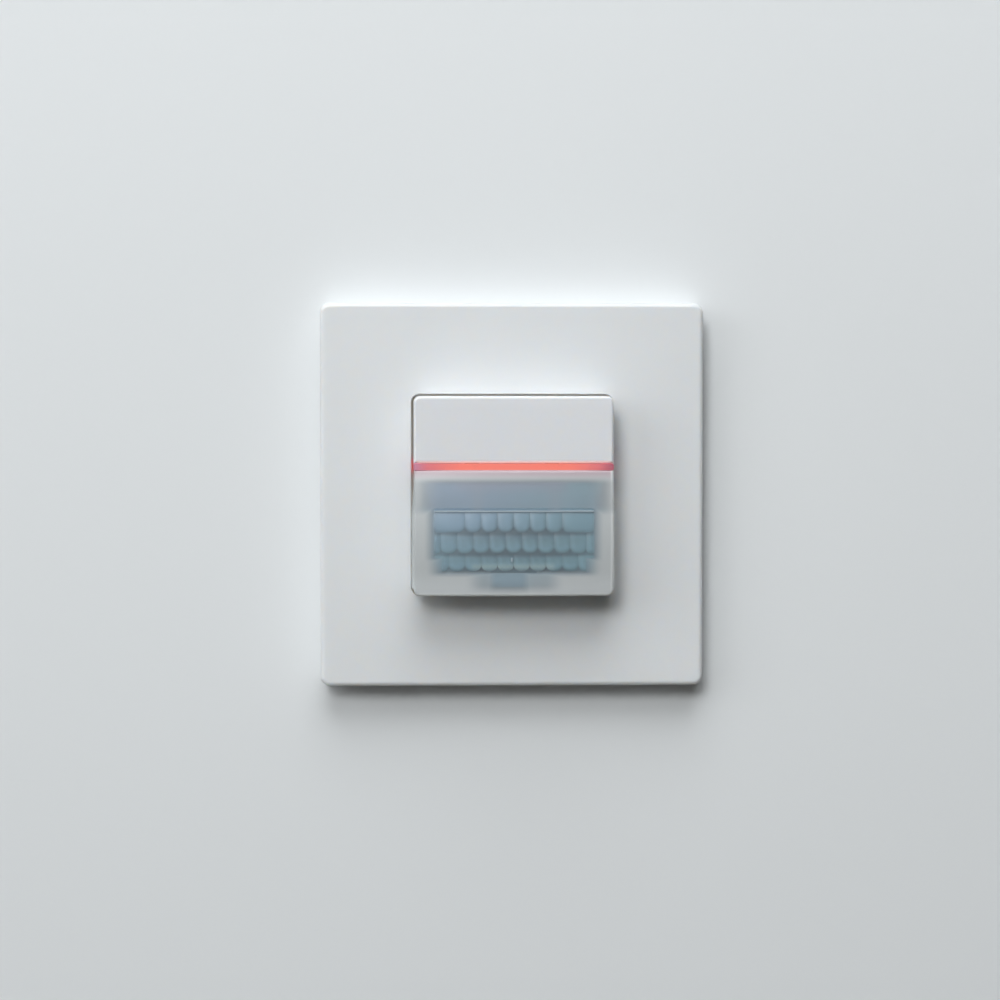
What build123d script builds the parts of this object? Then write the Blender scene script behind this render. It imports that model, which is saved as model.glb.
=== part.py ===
from build123d import *
from math import sqrt
import os

os.makedirs("parts", exist_ok=True)

# A motion sensor light switch for a round flush box, in millimetres.
# The wall is the plane y = 0, the room lies towards -Y and +Z is up.
# A level is a height off the wall, towards the room: levels below zero lie inside the wall box.
# The origin is the middle of the plate, between the two box screws.

# Shared clearances
overrun = 1.0
seat_clearance = 0.3
slide_clearance = 0.06
part_clearance = 0.15

# Sensor head, the square insert in the plate
head_side = 45.0
head_corner_radius = 1.5
head_wall = 1.4
opening_gap = 0.6
cap_height = 15.25
bar_height = 1.4

# Cover frame
frame_overhang = 8.5
frame_depth = 8.5
frame_corner_radius = 2.2
frame_edge_round = 1.0
frame_face_wall = 2.0
frame_side_wall = 1.8
frame_collar_wall = 1.2
frame_collar_depth = 2.6
frame_rib_wall = 1.0
frame_rib_depth = 2.2
opening_edge_round = 0.3
opening_corner_radius = 1.9
hook_width = 7.0
hook_wall = 1.2
hook_reach = 5.0
hook_barb_height = 1.0

# Mounting plate and its box screws
plate_wall = 1.2
plate_corner_radius = 4.0
box_screw_spacing = 60.0
box_slot_length = 8.0
box_slot_width = 4.2
slot_edge_wall = 1.5
tab_width = 8.0
tab_height = 4.8
tab_offset = 16.0
tab_window_height = 1.4

# Rear housing in the wall box
housing_radius = 26.0
housing_depth = 30.0
housing_wall = 1.5
housing_edge_break = 1.2
flange_lip = 5.0
flange_flat_lip = 2.0
flange_wall = 1.2
rivet_radius = 1.1
rivet_head_radius = 1.6
rivet_head_angle = 45
rivet_x = 13.5
rivet_offset = 2.06

# Housing lid and the screws through it
lid_wall = 1.4
lid_screw_inset = 4.45
lid_screw_margin = 3.05
lid_pillar_radius = 2.4
lid_screw_radius = 1.0
lid_screw_head_radius = 1.8
lid_screw_head_height = 1.2
lid_screw_bite = 8.0

# Power board and the parts on it
board_wall = 1.6
power_board_depth = 8.0
relay_width = 19.0
relay_height = 10.0
relay_back_gap = 3.4
relay_gap = 0.5
relay_z = 9.5
relay_edge_break = 0.6
film_capacitor_gap = 1.45
film_capacitor_margin = 1.4
film_capacitor_height = 5.0
film_capacitor_depth = 11.0
film_capacitor_z = 7.0
electrolytic_radius = 4.0
electrolytic_back_gap = 4.9
electrolytic_gap = 0.3
electrolytic_margin = 1.9
electrolytic_groove = 0.4
electrolytic_edge_break = 0.4
choke_radius = 4.0
choke_depth = 7.0
choke_flange = 1.2
choke_neck_radius = 2.0
choke_margin = 4.85
choke_gap = 0.8
varistor_radius = 3.5
varistor_wall = 3.0
varistor_margin = 5.35
varistor_z = -8.0
varistor_edge_break = 0.7
fuse_radius = 3.7
fuse_depth = 7.5
fuse_margin = 6.65
fuse_z = 6.5
fuse_edge_break = 0.3
rectifier_width = 8.0
rectifier_height = 6.0
rectifier_depth = 2.6
rectifier_margin = 4.85
rectifier_gap = 0.6
rectifier_edge_break = 0.4
regulator_width = 4.9
regulator_height = 3.9
regulator_depth = 1.5
regulator_x = 3.0
regulator_z = -5.5
chip_leg_width = 0.45
chip_leg_reach = 0.9
chip_leg_wall = 0.25

# Terminal block, its cages, springs and release keys
pole_count = 4
pole_pitch = 7.2
block_height = 14.4
block_proud = 0.6
block_corner_gap = 0.515
block_wall = 0.8
wire_hole_radius = 1.4
chamber_depth = 9.0
wire_hole_shift = 0.075
wire_mouth_break = 0.4
key_width = 3.0
key_height = 2.4
key_travel = 1.5
key_foot_width = 4.4
key_foot_height = 1.0
key_groove = 0.5
cage_wall = 0.6
cage_width = 4.2
cage_depth = 6.0
cage_pin_width = 0.9
spring_wall = 0.35
spring_width = 3.6
spring_prong_depth = 4.0
spring_root_half = 1.6
spring_bend_radius = 0.6

# Head base
base_depth = 5.0
base_wall = 2.2
base_floor_wall = 1.5
board_gap = 0.8
board_edge_gap = 0.3
board_screw_inset = 5.3
board_post_radius = 2.2
board_screw_radius = 0.8
board_screw_head_radius = 1.7
board_screw_head_height = 0.9
snap_width = 6.0
snap_wall = 1.2
snap_z = 17.0
snap_barb = 0.7
snap_barb_height = 1.2
snap_reach = 3.2

# Plug between the head and the rear insert
pin_count = 5
pin_pitch = 2.54
pin_side = 0.64
pin_proud = 0.5
header_height = 2.5
socket_height = 4.4
socket_wall = 0.7
plug_bite = 5.8

# Carrier deck
deck_wall = 1.4
deck_margin = 0.3
chamber_side_margin = 5.0
chamber_rim_wall = 1.2
chamber_rim_height = 1.4
sleeve_radius = 3.1
sleeve_height = 2.2

# Cap, its guide posts, catches and ram
cap_face_level = 19.5
cap_edge_round = 0.7
cap_seam = 0.15
cap_stop_gap = 0.8
cap_travel = 0.6
post_radius = 1.5
post_inset = 5.2
post_drop = 9.9
post_reach = 0.7
catch_wall = 1.0
catch_gap = 0.6
catch_barb = 0.6
catch_barb_height = 0.6
ram_radius = 1.8
cap_rib_wall = 0.9
cap_rib_depth = 2.5

# Springs on the guide posts
coil_wire_radius = 0.25
coil_radius = 2.2
coil_turns = 4.5

# Push switch under the cap
switch_side = 4.2
switch_height = 3.5
switch_stem_radius = 1.5
switch_stem_stand = 2.0
switch_stem_depth = 1.6
switch_dial_gap = 0.75
switch_edge_break = 0.4

# Setting dials under the cap
dial_count = 3
dial_screw_gap = 1.8
dial_wall_gap = 0.6
trimmer_side = 5.4
trimmer_height = 2.6
dial_edge_wall = 0.3
dial_height = 1.8
dial_spigot_radius = 1.0
dial_spigot_depth = 1.4
dial_slot_width = 0.7
dial_slot_depth = 0.8

# Lens cover and its crown
crown_level = 21.5
crown_radius_upright = 75.0
crown_radius_across = 280.0
cover_edge_round = 0.7
cheek_wall = 0.45
cheek_top_drop = 9.15
cheek_foot_rise = 1.9
cheek_blend = 5.0
cheek_front_drop = 3.4
cover_tab_width = 6.0
cover_tab_wall = 1.0
cover_tab_x = 10.0
cover_tab_depth = 2.0

# Segmented lens behind the cover
lens_gap = 0.5
lens_wall = 0.9
lens_cover_gap = 0.8
lens_foot_wall = 0.9
segment_raise = 0.35
segment_gap = 0.35
segment_scallop = 0.7
panel_top_gap = 0.65
panel_top_inset = 2.5
rows_inset = 4.1
row_height_shares = (0.2794, 0.2116, 0.1989, 0.1693)
look_down_half = 5.2
row_pitch = 3.65

# Light bar and its legs
bar_face_drop = 0.2
bar_depth = 3.0
bar_end_wall = 1.3
leg_x = 9.2
leg_width = 4.4
leg_wall = 1.2
leg_tip_width = 3.0
led_height = 1.0
led_width = 2.0
led_depth = 1.1

# Heat sensor and small parts of the head board
can_radius = 4.6
can_height = 4.2
can_wall = 0.4
can_flange = 0.5
can_flange_height = 0.4
can_edge_break = 0.3
can_z = -10.0
window_width = 4.6
window_height = 3.4
can_pin_radius = 0.25
can_pin_circle = 2.54
light_sensor_side = 2.2
light_sensor_height = 1.0
light_sensor_x_inset = 5.2
light_sensor_z_inset = 3.2
light_sensor_dome = 0.7
controller_side = 6.0
controller_height = 1.2
controller_can_gap = 3.0
controller_screw_gap = 0.2
controller_legs = 6
capacitor_length = 2.0
capacitor_width = 1.25
capacitor_height = 0.9
capacitor_count = 4
capacitor_pitch = 3.0
capacitor_inset = 8.0
capacitor_z = -2.5

# Plate, frame and round insert, from the box screws outwards and inwards
plate_side = box_screw_spacing + box_slot_length + 2 * slot_edge_wall
frame_side = plate_side + 2 * frame_overhang
flange_flat_half = (box_screw_spacing - box_slot_length) / 2 - slot_edge_wall
housing_flat_half = flange_flat_half - flange_flat_lip
flange_radius = housing_radius + flange_lip
rivet_z = sqrt((housing_radius + rivet_offset) ** 2 - rivet_x**2)
board_radius = housing_radius - housing_wall - part_clearance
board_flat = housing_flat_half - housing_wall - part_clearance
lid_screw_x = board_flat - lid_screw_inset
lid_screw_z = sqrt((board_radius - lid_screw_margin) ** 2 - lid_screw_x**2)
low_screw_z = board_radius - lid_screw_margin

# Places in the round insert
block_width = pole_count * pole_pitch + 2 * block_wall
block_drop = sqrt((housing_radius - housing_wall) ** 2 - (block_width / 2) ** 2)
block_z = block_height / 2 + block_corner_gap - block_drop
socket_width = pin_count * pin_pitch + 2 * socket_wall
relay_x = lid_pillar_radius + relay_gap + relay_width / 2 - lid_screw_x
relay_right = relay_x + relay_width / 2
film_capacitor_left = relay_right + film_capacitor_gap
film_capacitor_right = board_flat - film_capacitor_margin
film_capacitor_width = film_capacitor_right - film_capacitor_left
film_capacitor_x = (film_capacitor_left + film_capacitor_right) / 2
electrolytic_x = relay_right + electrolytic_gap + electrolytic_radius
electrolytic_reach = housing_radius - housing_wall - electrolytic_radius - electrolytic_margin
electrolytic_z = sqrt(electrolytic_reach**2 - electrolytic_x**2)
choke_x = choke_margin + choke_radius - board_flat
choke_z = -socket_height / 2 - choke_gap - choke_radius
varistor_x = board_flat - varistor_margin - varistor_wall / 2
fuse_x = board_flat - fuse_margin - fuse_radius
rectifier_x = rectifier_margin + rectifier_width / 2 - board_flat
rectifier_z = socket_height / 2 + rectifier_gap + rectifier_height / 2

# Outlines that several pieces share
head_half = head_side / 2
opening_side = head_side + 2 * opening_gap
cap_bottom = head_half - cap_height + cap_seam
bar_top = head_half - cap_height
bar_bottom = bar_top - bar_height
cover_height = bar_bottom + head_half
cover_z = (bar_bottom - head_half) / 2

# Places in the head, from its edges and its screws
board_screw_x = head_half - board_screw_inset
board_screw_z = head_half - board_screw_inset
chamber_half_width = head_half - chamber_side_margin
post_x = head_half - post_inset
post_z = head_half - post_drop
base_cavity_half = head_half - base_wall
board_half = base_cavity_half - board_edge_gap
dial_z = base_cavity_half - dial_wall_gap - trimmer_side / 2
switch_z = dial_z - trimmer_side / 2 - switch_dial_gap - switch_side / 2
dial_row_half = board_screw_x - board_screw_head_radius - dial_screw_gap
dial_row_gap = (2 * dial_row_half - dial_count * trimmer_side) / (dial_count - 1)
dial_radius = trimmer_side / 2 - dial_edge_wall
catch_width = dial_row_gap - 2 * catch_gap
capacitor_x = board_half - capacitor_inset
dial_spacing = trimmer_side + dial_row_gap
catch_x = dial_spacing / 2
cheek_top = bar_bottom - cheek_top_drop
cheek_bottom = cheek_foot_rise - head_half
panel_top_half = head_half - panel_top_inset
rows_half_width = head_half - rows_inset
panel_foot_half = rows_half_width
light_sensor_x = board_screw_x - light_sensor_x_inset
light_sensor_z = light_sensor_z_inset - board_screw_z
controller_x = -(can_radius + can_flange + controller_can_gap + controller_side / 2 + chip_leg_reach)
controller_top_drop = board_screw_z - board_screw_head_radius - controller_screw_gap
controller_z = controller_side / 2 - controller_top_drop

# Levels, from the wall box out to the room
plate_level = plate_wall
flange_level = plate_level + flange_wall
lid_level = flange_level
rim_level = flange_level + base_depth
floor_level = flange_level + base_floor_wall
board_back_level = floor_level + board_gap
board_level = board_back_level + board_wall
deck_level = rim_level + deck_wall
cap_back_level = rim_level + cap_stop_gap
cap_inner_level = cap_face_level - head_wall
bar_face_level = cap_face_level - bar_face_drop
power_board_level = -power_board_depth
power_back_level = power_board_level - board_wall
housing_back_level = -housing_depth
room_behind_board = housing_depth - housing_wall - power_board_depth - board_wall
relay_depth = room_behind_board - relay_back_gap
electrolytic_depth = room_behind_board - electrolytic_back_gap
block_depth = room_behind_board + housing_wall + block_proud
wire_hole_depth = block_depth - chamber_depth
key_slot_width = key_width + 2 * part_clearance
key_slot_height = key_height + 2 * part_clearance
wire_spacing = (key_slot_height + block_height) / 2 - 2 * wire_hole_shift
block_back_level = power_back_level - block_depth
chamber_level = block_back_level + wire_hole_depth
cover_inner_level = crown_level - head_wall
lens_level = cover_inner_level - lens_cover_gap


def face_on(level):
    """Plane parallel to the wall at a level, looking out into the room."""
    return Plane.XZ.offset(level)


def flatted_disc(radius, flat_half):
    """Round outline with a flat on each side, as clears the box screws."""
    with BuildSketch() as outline:
        Circle(radius)
        Rectangle(2 * flat_half, 2 * radius, mode=Mode.INTERSECT)
    return outline.sketch


def top_rounded(width, height, radius, top):
    """Rectangle below a top edge whose two upper corners are round."""
    with BuildSketch() as outline:
        with Locations((0, top - height / 2)):
            Rectangle(width, height)
        fillet(outline.vertices().group_by(Axis.Y)[-1], radius)
    return outline.sketch


def foot_rounded(width, height, radius, foot):
    """Rectangle above a bottom edge whose two lower corners are round."""
    with BuildSketch() as outline:
        with Locations((0, foot + height / 2)):
            Rectangle(width, height)
        fillet(outline.vertices().group_by(Axis.Y)[0], radius)
    return outline.sketch


crown_axis_y = crown_radius_upright - crown_level
crown_axis = Axis((0, crown_axis_y, cover_z), (1, 0, 0))
crown_reach = head_side


def crown_section(level):
    """Half section of the barrel whose front just reaches a level: its rim curves across the head."""
    drop = crown_radius_across - sqrt(crown_radius_across**2 - crown_reach**2)
    with BuildSketch(Plane.XY.offset(cover_z)) as section:
        with BuildLine():
            rim = ThreePointArc(
                (-crown_reach, drop - level), (0, -level), (crown_reach, drop - level)
            )
            Polyline(rim @ 0, (-crown_reach, crown_axis_y), (crown_reach, crown_axis_y), rim @ 1)
        make_face()
    return section.sketch


def crowned_block(width, height, z, back_level, level):
    """Block from a back level out to the crown that just reaches a front level."""
    with BuildPart() as block:
        with BuildSketch(face_on(back_level)):
            with Locations((0, z)):
                Rectangle(width, height)
        extrude(amount=level - back_level)
        revolve(crown_section(level), axis=crown_axis, mode=Mode.INTERSECT)
    return block.part


# Cover frame
frame_cavity_level = frame_depth - frame_face_wall
collar_level = frame_cavity_level - frame_collar_depth
collar_side = opening_side + 2 * frame_collar_wall
frame_cavity_side = frame_side - 2 * frame_side_wall
plate_half = plate_side / 2
hook_x = plate_half + part_clearance + hook_wall / 2
tab_window_level = tab_height - tab_window_height - plate_wall / 2
rib_length = (frame_cavity_side - collar_side) / 2
rib_place = (frame_cavity_side + collar_side) / 4
rib_offset = opening_side / 2 - frame_rib_wall

with BuildPart() as cover_frame:
    with BuildSketch(face_on(0)):
        RectangleRounded(frame_side, frame_side, frame_corner_radius)
    extrude(amount=frame_depth)
    fillet(cover_frame.faces().sort_by(Axis.Y)[0].edges(), frame_edge_round)
    with BuildSketch(face_on(0)):
        RectangleRounded(frame_cavity_side, frame_cavity_side, frame_edge_round)
    extrude(amount=frame_cavity_level, mode=Mode.SUBTRACT)
    with BuildSketch(face_on(collar_level)):
        RectangleRounded(collar_side, collar_side, opening_corner_radius + frame_collar_wall)
    extrude(amount=frame_collar_depth)
    with BuildSketch(face_on(collar_level - overrun)):
        RectangleRounded(opening_side, opening_side, opening_corner_radius)
    extrude(amount=frame_depth, mode=Mode.SUBTRACT)
    mouth = cover_frame.faces().sort_by(Axis.Y)[0].inner_wires()[0].edges()
    fillet(mouth, opening_edge_round)
    with BuildSketch(face_on(frame_cavity_level - frame_rib_depth)):
        with Locations(
            *[(side * rib_place, end * rib_offset) for side in (-1, 1) for end in (-1, 1)]
        ):
            Rectangle(rib_length, frame_rib_wall)
        with Locations(
            *[(end * rib_offset, side * rib_place) for side in (-1, 1) for end in (-1, 1)]
        ):
            Rectangle(frame_rib_wall, rib_length)
    extrude(amount=frame_rib_depth)
    with BuildSketch(face_on(frame_cavity_level - hook_reach)):
        with GridLocations(2 * hook_x, 2 * tab_offset, 2, 2):
            Rectangle(hook_wall, hook_width)
    extrude(amount=hook_reach)
    barb_width = hook_width - 2 * frame_rib_wall - 2 * part_clearance
    barb_reach = part_clearance + plate_wall / 2
    barb_x = plate_half + part_clearance - barb_reach / 2
    with BuildSketch(face_on(tab_window_level + part_clearance)):
        with GridLocations(2 * barb_x, 2 * tab_offset, 2, 2):
            Rectangle(barb_reach, barb_width)
    extrude(amount=hook_barb_height)
cover_frame.part.label = "cover_frame"
export_step(cover_frame.part, "parts/cover_frame.step")

# Mounting plate with its upright tabs
housing_hole_radius = housing_radius + seat_clearance
housing_hole_flat = housing_flat_half + seat_clearance
with BuildPart() as mounting_plate:
    with BuildSketch(face_on(0)):
        RectangleRounded(plate_side, plate_side, plate_corner_radius)
        add(flatted_disc(housing_hole_radius, housing_hole_flat), mode=Mode.SUBTRACT)
        with Locations((-box_screw_spacing / 2, 0), (box_screw_spacing / 2, 0)):
            SlotOverall(box_slot_length, box_slot_width, mode=Mode.SUBTRACT)
        with GridLocations(2 * rivet_x, 2 * rivet_z, 2, 2):
            Circle(rivet_radius, mode=Mode.SUBTRACT)
    extrude(amount=plate_wall)
    back_circles = mounting_plate.faces().sort_by(Axis.Y)[-1].edges().filter_by(GeomType.CIRCLE)
    rivet_mouths = back_circles.filter_by(
        lambda edge: abs(edge.radius - rivet_radius) < slide_clearance
    )
    chamfer(rivet_mouths, rivet_head_radius - rivet_radius)
    with BuildSketch(face_on(0)):
        with GridLocations(plate_side - plate_wall, 2 * tab_offset, 2, 2):
            Rectangle(plate_wall, tab_width)
    extrude(amount=tab_height)
    with BuildSketch(face_on(tab_window_level)):
        with GridLocations(plate_side - plate_wall, 2 * tab_offset, 2, 2):
            Rectangle(plate_wall + overrun, tab_width - 2 * frame_rib_wall)
    extrude(amount=tab_window_height, mode=Mode.SUBTRACT)
mounting_plate.part.label = "mounting_plate"
export_step(mounting_plate.part, "parts/mounting_plate.step")

# Rear housing
lid_screw_places = [(-lid_screw_x, lid_screw_z), (lid_screw_x, lid_screw_z), (0, -low_screw_z)]
with BuildPart() as rear_housing:
    with BuildSketch(face_on(housing_back_level)):
        add(flatted_disc(housing_radius, housing_flat_half))
    extrude(amount=housing_depth + flange_level)
    chamfer(rear_housing.faces().sort_by(Axis.Y)[-1].edges(), housing_edge_break)
    with BuildSketch(face_on(plate_level)):
        add(flatted_disc(flange_radius, flange_flat_half))
    extrude(amount=flange_wall)
    with BuildSketch(face_on(housing_back_level + housing_wall)):
        add(flatted_disc(housing_radius - housing_wall, housing_flat_half - housing_wall))
        with Locations(*lid_screw_places):
            Circle(lid_pillar_radius - part_clearance, mode=Mode.SUBTRACT)
    extrude(amount=housing_depth + flange_level, mode=Mode.SUBTRACT)
    with BuildSketch(face_on(power_back_level)):
        with Locations(*lid_screw_places):
            Circle(lid_pillar_radius + overrun)
    extrude(amount=power_board_depth + board_wall + flange_level + overrun, mode=Mode.SUBTRACT)
    with BuildSketch(face_on(power_back_level - lid_screw_bite)):
        with Locations(*lid_screw_places):
            Circle(lid_screw_radius)
    extrude(amount=lid_screw_bite + overrun, mode=Mode.SUBTRACT)
    with BuildSketch(face_on(housing_back_level - overrun)):
        with Locations((0, block_z)):
            Rectangle(block_width + 2 * part_clearance, block_height + 2 * part_clearance)
    extrude(amount=housing_wall + 2 * overrun, mode=Mode.SUBTRACT)
    with BuildSketch(face_on(plate_level - overrun)):
        with GridLocations(2 * rivet_x, 2 * rivet_z, 2, 2):
            Circle(rivet_radius)
    extrude(amount=flange_wall + 2 * overrun, mode=Mode.SUBTRACT)
rear_housing.part.label = "rear_housing"
export_step(rear_housing.part, "parts/rear_housing.step")

# Rivets that hold the housing's flange on the plate
with BuildPart() as flange_rivets:
    with BuildSketch(face_on(0)):
        with GridLocations(2 * rivet_x, 2 * rivet_z, 2, 2):
            Circle(rivet_radius)
    extrude(amount=flange_level)
    with BuildSketch(face_on(0)):
        with GridLocations(2 * rivet_x, 2 * rivet_z, 2, 2):
            Circle(rivet_head_radius - slide_clearance)
    extrude(amount=rivet_head_radius - rivet_radius, taper=rivet_head_angle)
flange_rivets.part.label = "flange_rivets"
export_step(flange_rivets.part, "parts/flange_rivets.step")

# Housing lid with its hollow pillars
socket_front_level = flange_level - seat_clearance
lid_back_level = lid_level - lid_wall
snap_window_height = snap_wall + snap_barb + 2 * seat_clearance
snap_window_z = snap_z + snap_barb / 2
with BuildPart() as housing_lid:
    with BuildSketch(face_on(lid_back_level)):
        add(flatted_disc(board_radius, board_flat))
        Rectangle(
            socket_width + 2 * seat_clearance,
            socket_height + 2 * seat_clearance,
            mode=Mode.SUBTRACT,
        )
        with Locations((0, -snap_window_z), (0, snap_window_z)):
            Rectangle(snap_width + 2 * seat_clearance, snap_window_height, mode=Mode.SUBTRACT)
    extrude(amount=lid_wall)
    with BuildSketch(face_on(power_board_level)):
        with Locations(*lid_screw_places):
            Circle(lid_pillar_radius)
    extrude(amount=power_board_depth + lid_back_level)
    with Locations(face_on(lid_level)):
        with Locations(*lid_screw_places):
            CounterBoreHole(
                lid_screw_radius + part_clearance,
                lid_screw_head_radius + part_clearance,
                lid_screw_head_height + part_clearance,
                depth=lid_level + power_board_depth,
            )
housing_lid.part.label = "housing_lid"
export_step(housing_lid.part, "parts/housing_lid.step")

# Screws through the lid, the power board and into the housing
screw_seat_level = lid_level - lid_screw_head_height - part_clearance
lid_screw_tip_level = power_back_level - lid_screw_bite + part_clearance
with BuildPart() as lid_screws:
    with BuildSketch(face_on(screw_seat_level)):
        with Locations(*lid_screw_places):
            Circle(lid_screw_head_radius)
    extrude(amount=lid_screw_head_height)
    with BuildSketch(face_on(lid_screw_tip_level)):
        with Locations(*lid_screw_places):
            Circle(lid_screw_radius - part_clearance / 2)
    extrude(amount=screw_seat_level - lid_screw_tip_level)
    with BuildSketch(face_on(screw_seat_level + lid_screw_head_height / 2)):
        with Locations(*lid_screw_places):
            Rectangle(2 * lid_screw_head_radius, dial_slot_width)
            Rectangle(dial_slot_width, 2 * lid_screw_head_radius)
    extrude(amount=lid_screw_head_height, mode=Mode.SUBTRACT)
lid_screws.part.label = "lid_screws"
export_step(lid_screws.part, "parts/lid_screws.step")

# Power board
first_pole_x = -(pole_count - 1) * pole_pitch / 2
pole_places = [(first_pole_x + pole * pole_pitch, block_z) for pole in range(pole_count)]
with BuildPart() as power_board:
    with BuildSketch(face_on(power_back_level)):
        add(flatted_disc(board_radius, board_flat))
        with Locations(*lid_screw_places):
            Circle(lid_screw_radius + part_clearance, mode=Mode.SUBTRACT)
        with Locations(*pole_places):
            Rectangle(cage_pin_width + part_clearance, cage_pin_width, mode=Mode.SUBTRACT)
    extrude(amount=board_wall)
power_board.part.label = "power_board"
export_step(power_board.part, "parts/power_board.step")

# Relay, behind the power board
with BuildPart() as relay:
    with BuildSketch(face_on(power_back_level)):
        with Locations((relay_x, relay_z)):
            Rectangle(relay_width, relay_height)
    extrude(amount=-relay_depth)
    chamfer(relay.faces().sort_by(Axis.Y)[-1].edges(), relay_edge_break)
relay.part.label = "relay"
export_step(relay.part, "parts/relay.step")

# Film capacitor, behind the power board
with BuildPart() as film_capacitor:
    with BuildSketch(face_on(power_back_level)):
        with Locations((film_capacitor_x, film_capacitor_z)):
            Rectangle(film_capacitor_width, film_capacitor_height)
    extrude(amount=-film_capacitor_depth)
    chamfer(film_capacitor.faces().sort_by(Axis.Y)[-1].edges(), relay_edge_break)
film_capacitor.part.label = "film_capacitor"
export_step(film_capacitor.part, "parts/film_capacitor.step")

# Electrolytic capacitor with its crimped groove
with BuildPart() as electrolytic_capacitor:
    with BuildSketch(face_on(power_back_level)):
        with Locations((electrolytic_x, electrolytic_z)):
            Circle(electrolytic_radius)
    extrude(amount=-electrolytic_depth)
    groove_level = power_back_level - electrolytic_radius / 2
    chamfer(electrolytic_capacitor.faces().sort_by(Axis.Y)[-1].edges(), electrolytic_edge_break)
    with BuildSketch(face_on(groove_level)):
        with Locations((electrolytic_x, electrolytic_z)):
            Circle(electrolytic_radius + overrun)
            Circle(electrolytic_radius - electrolytic_groove, mode=Mode.SUBTRACT)
    extrude(amount=-electrolytic_groove, mode=Mode.SUBTRACT)
electrolytic_capacitor.part.label = "electrolytic_capacitor"
export_step(electrolytic_capacitor.part, "parts/electrolytic_capacitor.step")

# Choke: a ferrite drum and the winding in its waist
winding_depth = choke_depth - 2 * choke_flange
with BuildPart() as choke_core:
    with BuildSketch(face_on(power_board_level)):
        with Locations((choke_x, choke_z)):
            Circle(choke_radius)
    extrude(amount=choke_depth)
    with BuildSketch(face_on(power_board_level + choke_flange)):
        with Locations((choke_x, choke_z)):
            Circle(choke_radius + overrun)
            Circle(choke_neck_radius, mode=Mode.SUBTRACT)
    extrude(amount=winding_depth, mode=Mode.SUBTRACT)
choke_core.part.label = "choke_core"
export_step(choke_core.part, "parts/choke_core.step")

with BuildPart() as choke_winding:
    with BuildSketch(face_on(power_board_level + choke_flange)):
        with Locations((choke_x, choke_z)):
            Circle(choke_radius - part_clearance)
            Circle(choke_neck_radius, mode=Mode.SUBTRACT)
    extrude(amount=winding_depth)
choke_winding.part.label = "choke_winding"
export_step(choke_winding.part, "parts/choke_winding.step")

# Varistor, a disc that stands on the board
with BuildPart() as varistor:
    with BuildSketch(Plane.YZ.offset(varistor_x - varistor_wall / 2)):
        with Locations((-(power_board_level + varistor_radius), varistor_z)):
            Circle(varistor_radius)
    extrude(amount=varistor_wall)
    chamfer(varistor.edges().filter_by(GeomType.CIRCLE), varistor_edge_break)
varistor.part.label = "varistor"
export_step(varistor.part, "parts/varistor.step")

# Fuse
with BuildPart() as fuse:
    with BuildSketch(face_on(power_board_level)):
        with Locations((fuse_x, fuse_z)):
            Circle(fuse_radius)
    extrude(amount=fuse_depth)
    chamfer(fuse.faces().sort_by(Axis.Y)[0].edges(), fuse_edge_break)
fuse.part.label = "fuse"
export_step(fuse.part, "parts/fuse.step")

# Rectifier
with BuildPart() as rectifier:
    with BuildSketch(face_on(power_board_level)):
        with Locations((rectifier_x, rectifier_z)):
            Rectangle(rectifier_width, rectifier_height)
    extrude(amount=rectifier_depth)
    chamfer(rectifier.faces().sort_by(Axis.Y)[0].edges(), rectifier_edge_break)
rectifier.part.label = "rectifier"
export_step(rectifier.part, "parts/rectifier.step")


def leg_row(x, z, body_half, count, pitch):
    """Flat legs on the left and right of a chip's body, as one outline."""
    with BuildSketch() as legs:
        with Locations((x, z)):
            with GridLocations(2 * body_half + chip_leg_reach, pitch, 2, count):
                Rectangle(chip_leg_reach, chip_leg_width)
    return legs.sketch


# Regulator chip
with BuildPart() as regulator_chip:
    with BuildSketch(face_on(power_board_level)):
        with Locations((regulator_x, regulator_z)):
            Rectangle(regulator_width, regulator_height)
    extrude(amount=regulator_depth)
    with BuildSketch(face_on(power_board_level)):
        add(
            leg_row(
                regulator_x,
                regulator_z,
                regulator_width / 2,
                pole_count,
                2 * chip_leg_width,
            )
        )
    extrude(amount=chip_leg_wall)
regulator_chip.part.label = "regulator_chip"
export_step(regulator_chip.part, "parts/regulator_chip.step")

# Terminal block: wire holes at the back, spring chambers open to the board
chamber_width = pole_pitch - block_wall
chamber_height = block_height - 2 * block_wall
wire_places = [
    (x, z + side * wire_spacing / 2) for x, z in pole_places for side in (-1, 1)
]
with BuildPart() as terminal_block:
    with BuildSketch(face_on(power_back_level)):
        with Locations((0, block_z)):
            Rectangle(block_width, block_height)
    extrude(amount=-block_depth)
    with BuildSketch(face_on(power_back_level + overrun)):
        with Locations(*pole_places):
            Rectangle(chamber_width, chamber_height)
    extrude(amount=chamber_level - power_back_level - overrun, mode=Mode.SUBTRACT)
    with BuildSketch(face_on(chamber_level + overrun)):
        with Locations(*wire_places):
            Circle(wire_hole_radius)
        with Locations(*pole_places):
            Rectangle(key_slot_width, key_slot_height)
    extrude(amount=-wire_hole_depth - 2 * overrun, mode=Mode.SUBTRACT)
    hole_mouths = (
        terminal_block.faces().sort_by(Axis.Y)[-1].edges().filter_by(GeomType.CIRCLE)
    )
    chamfer(hole_mouths, wire_mouth_break)
terminal_block.part.label = "terminal_block"
export_step(terminal_block.part, "parts/terminal_block.step")

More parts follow.
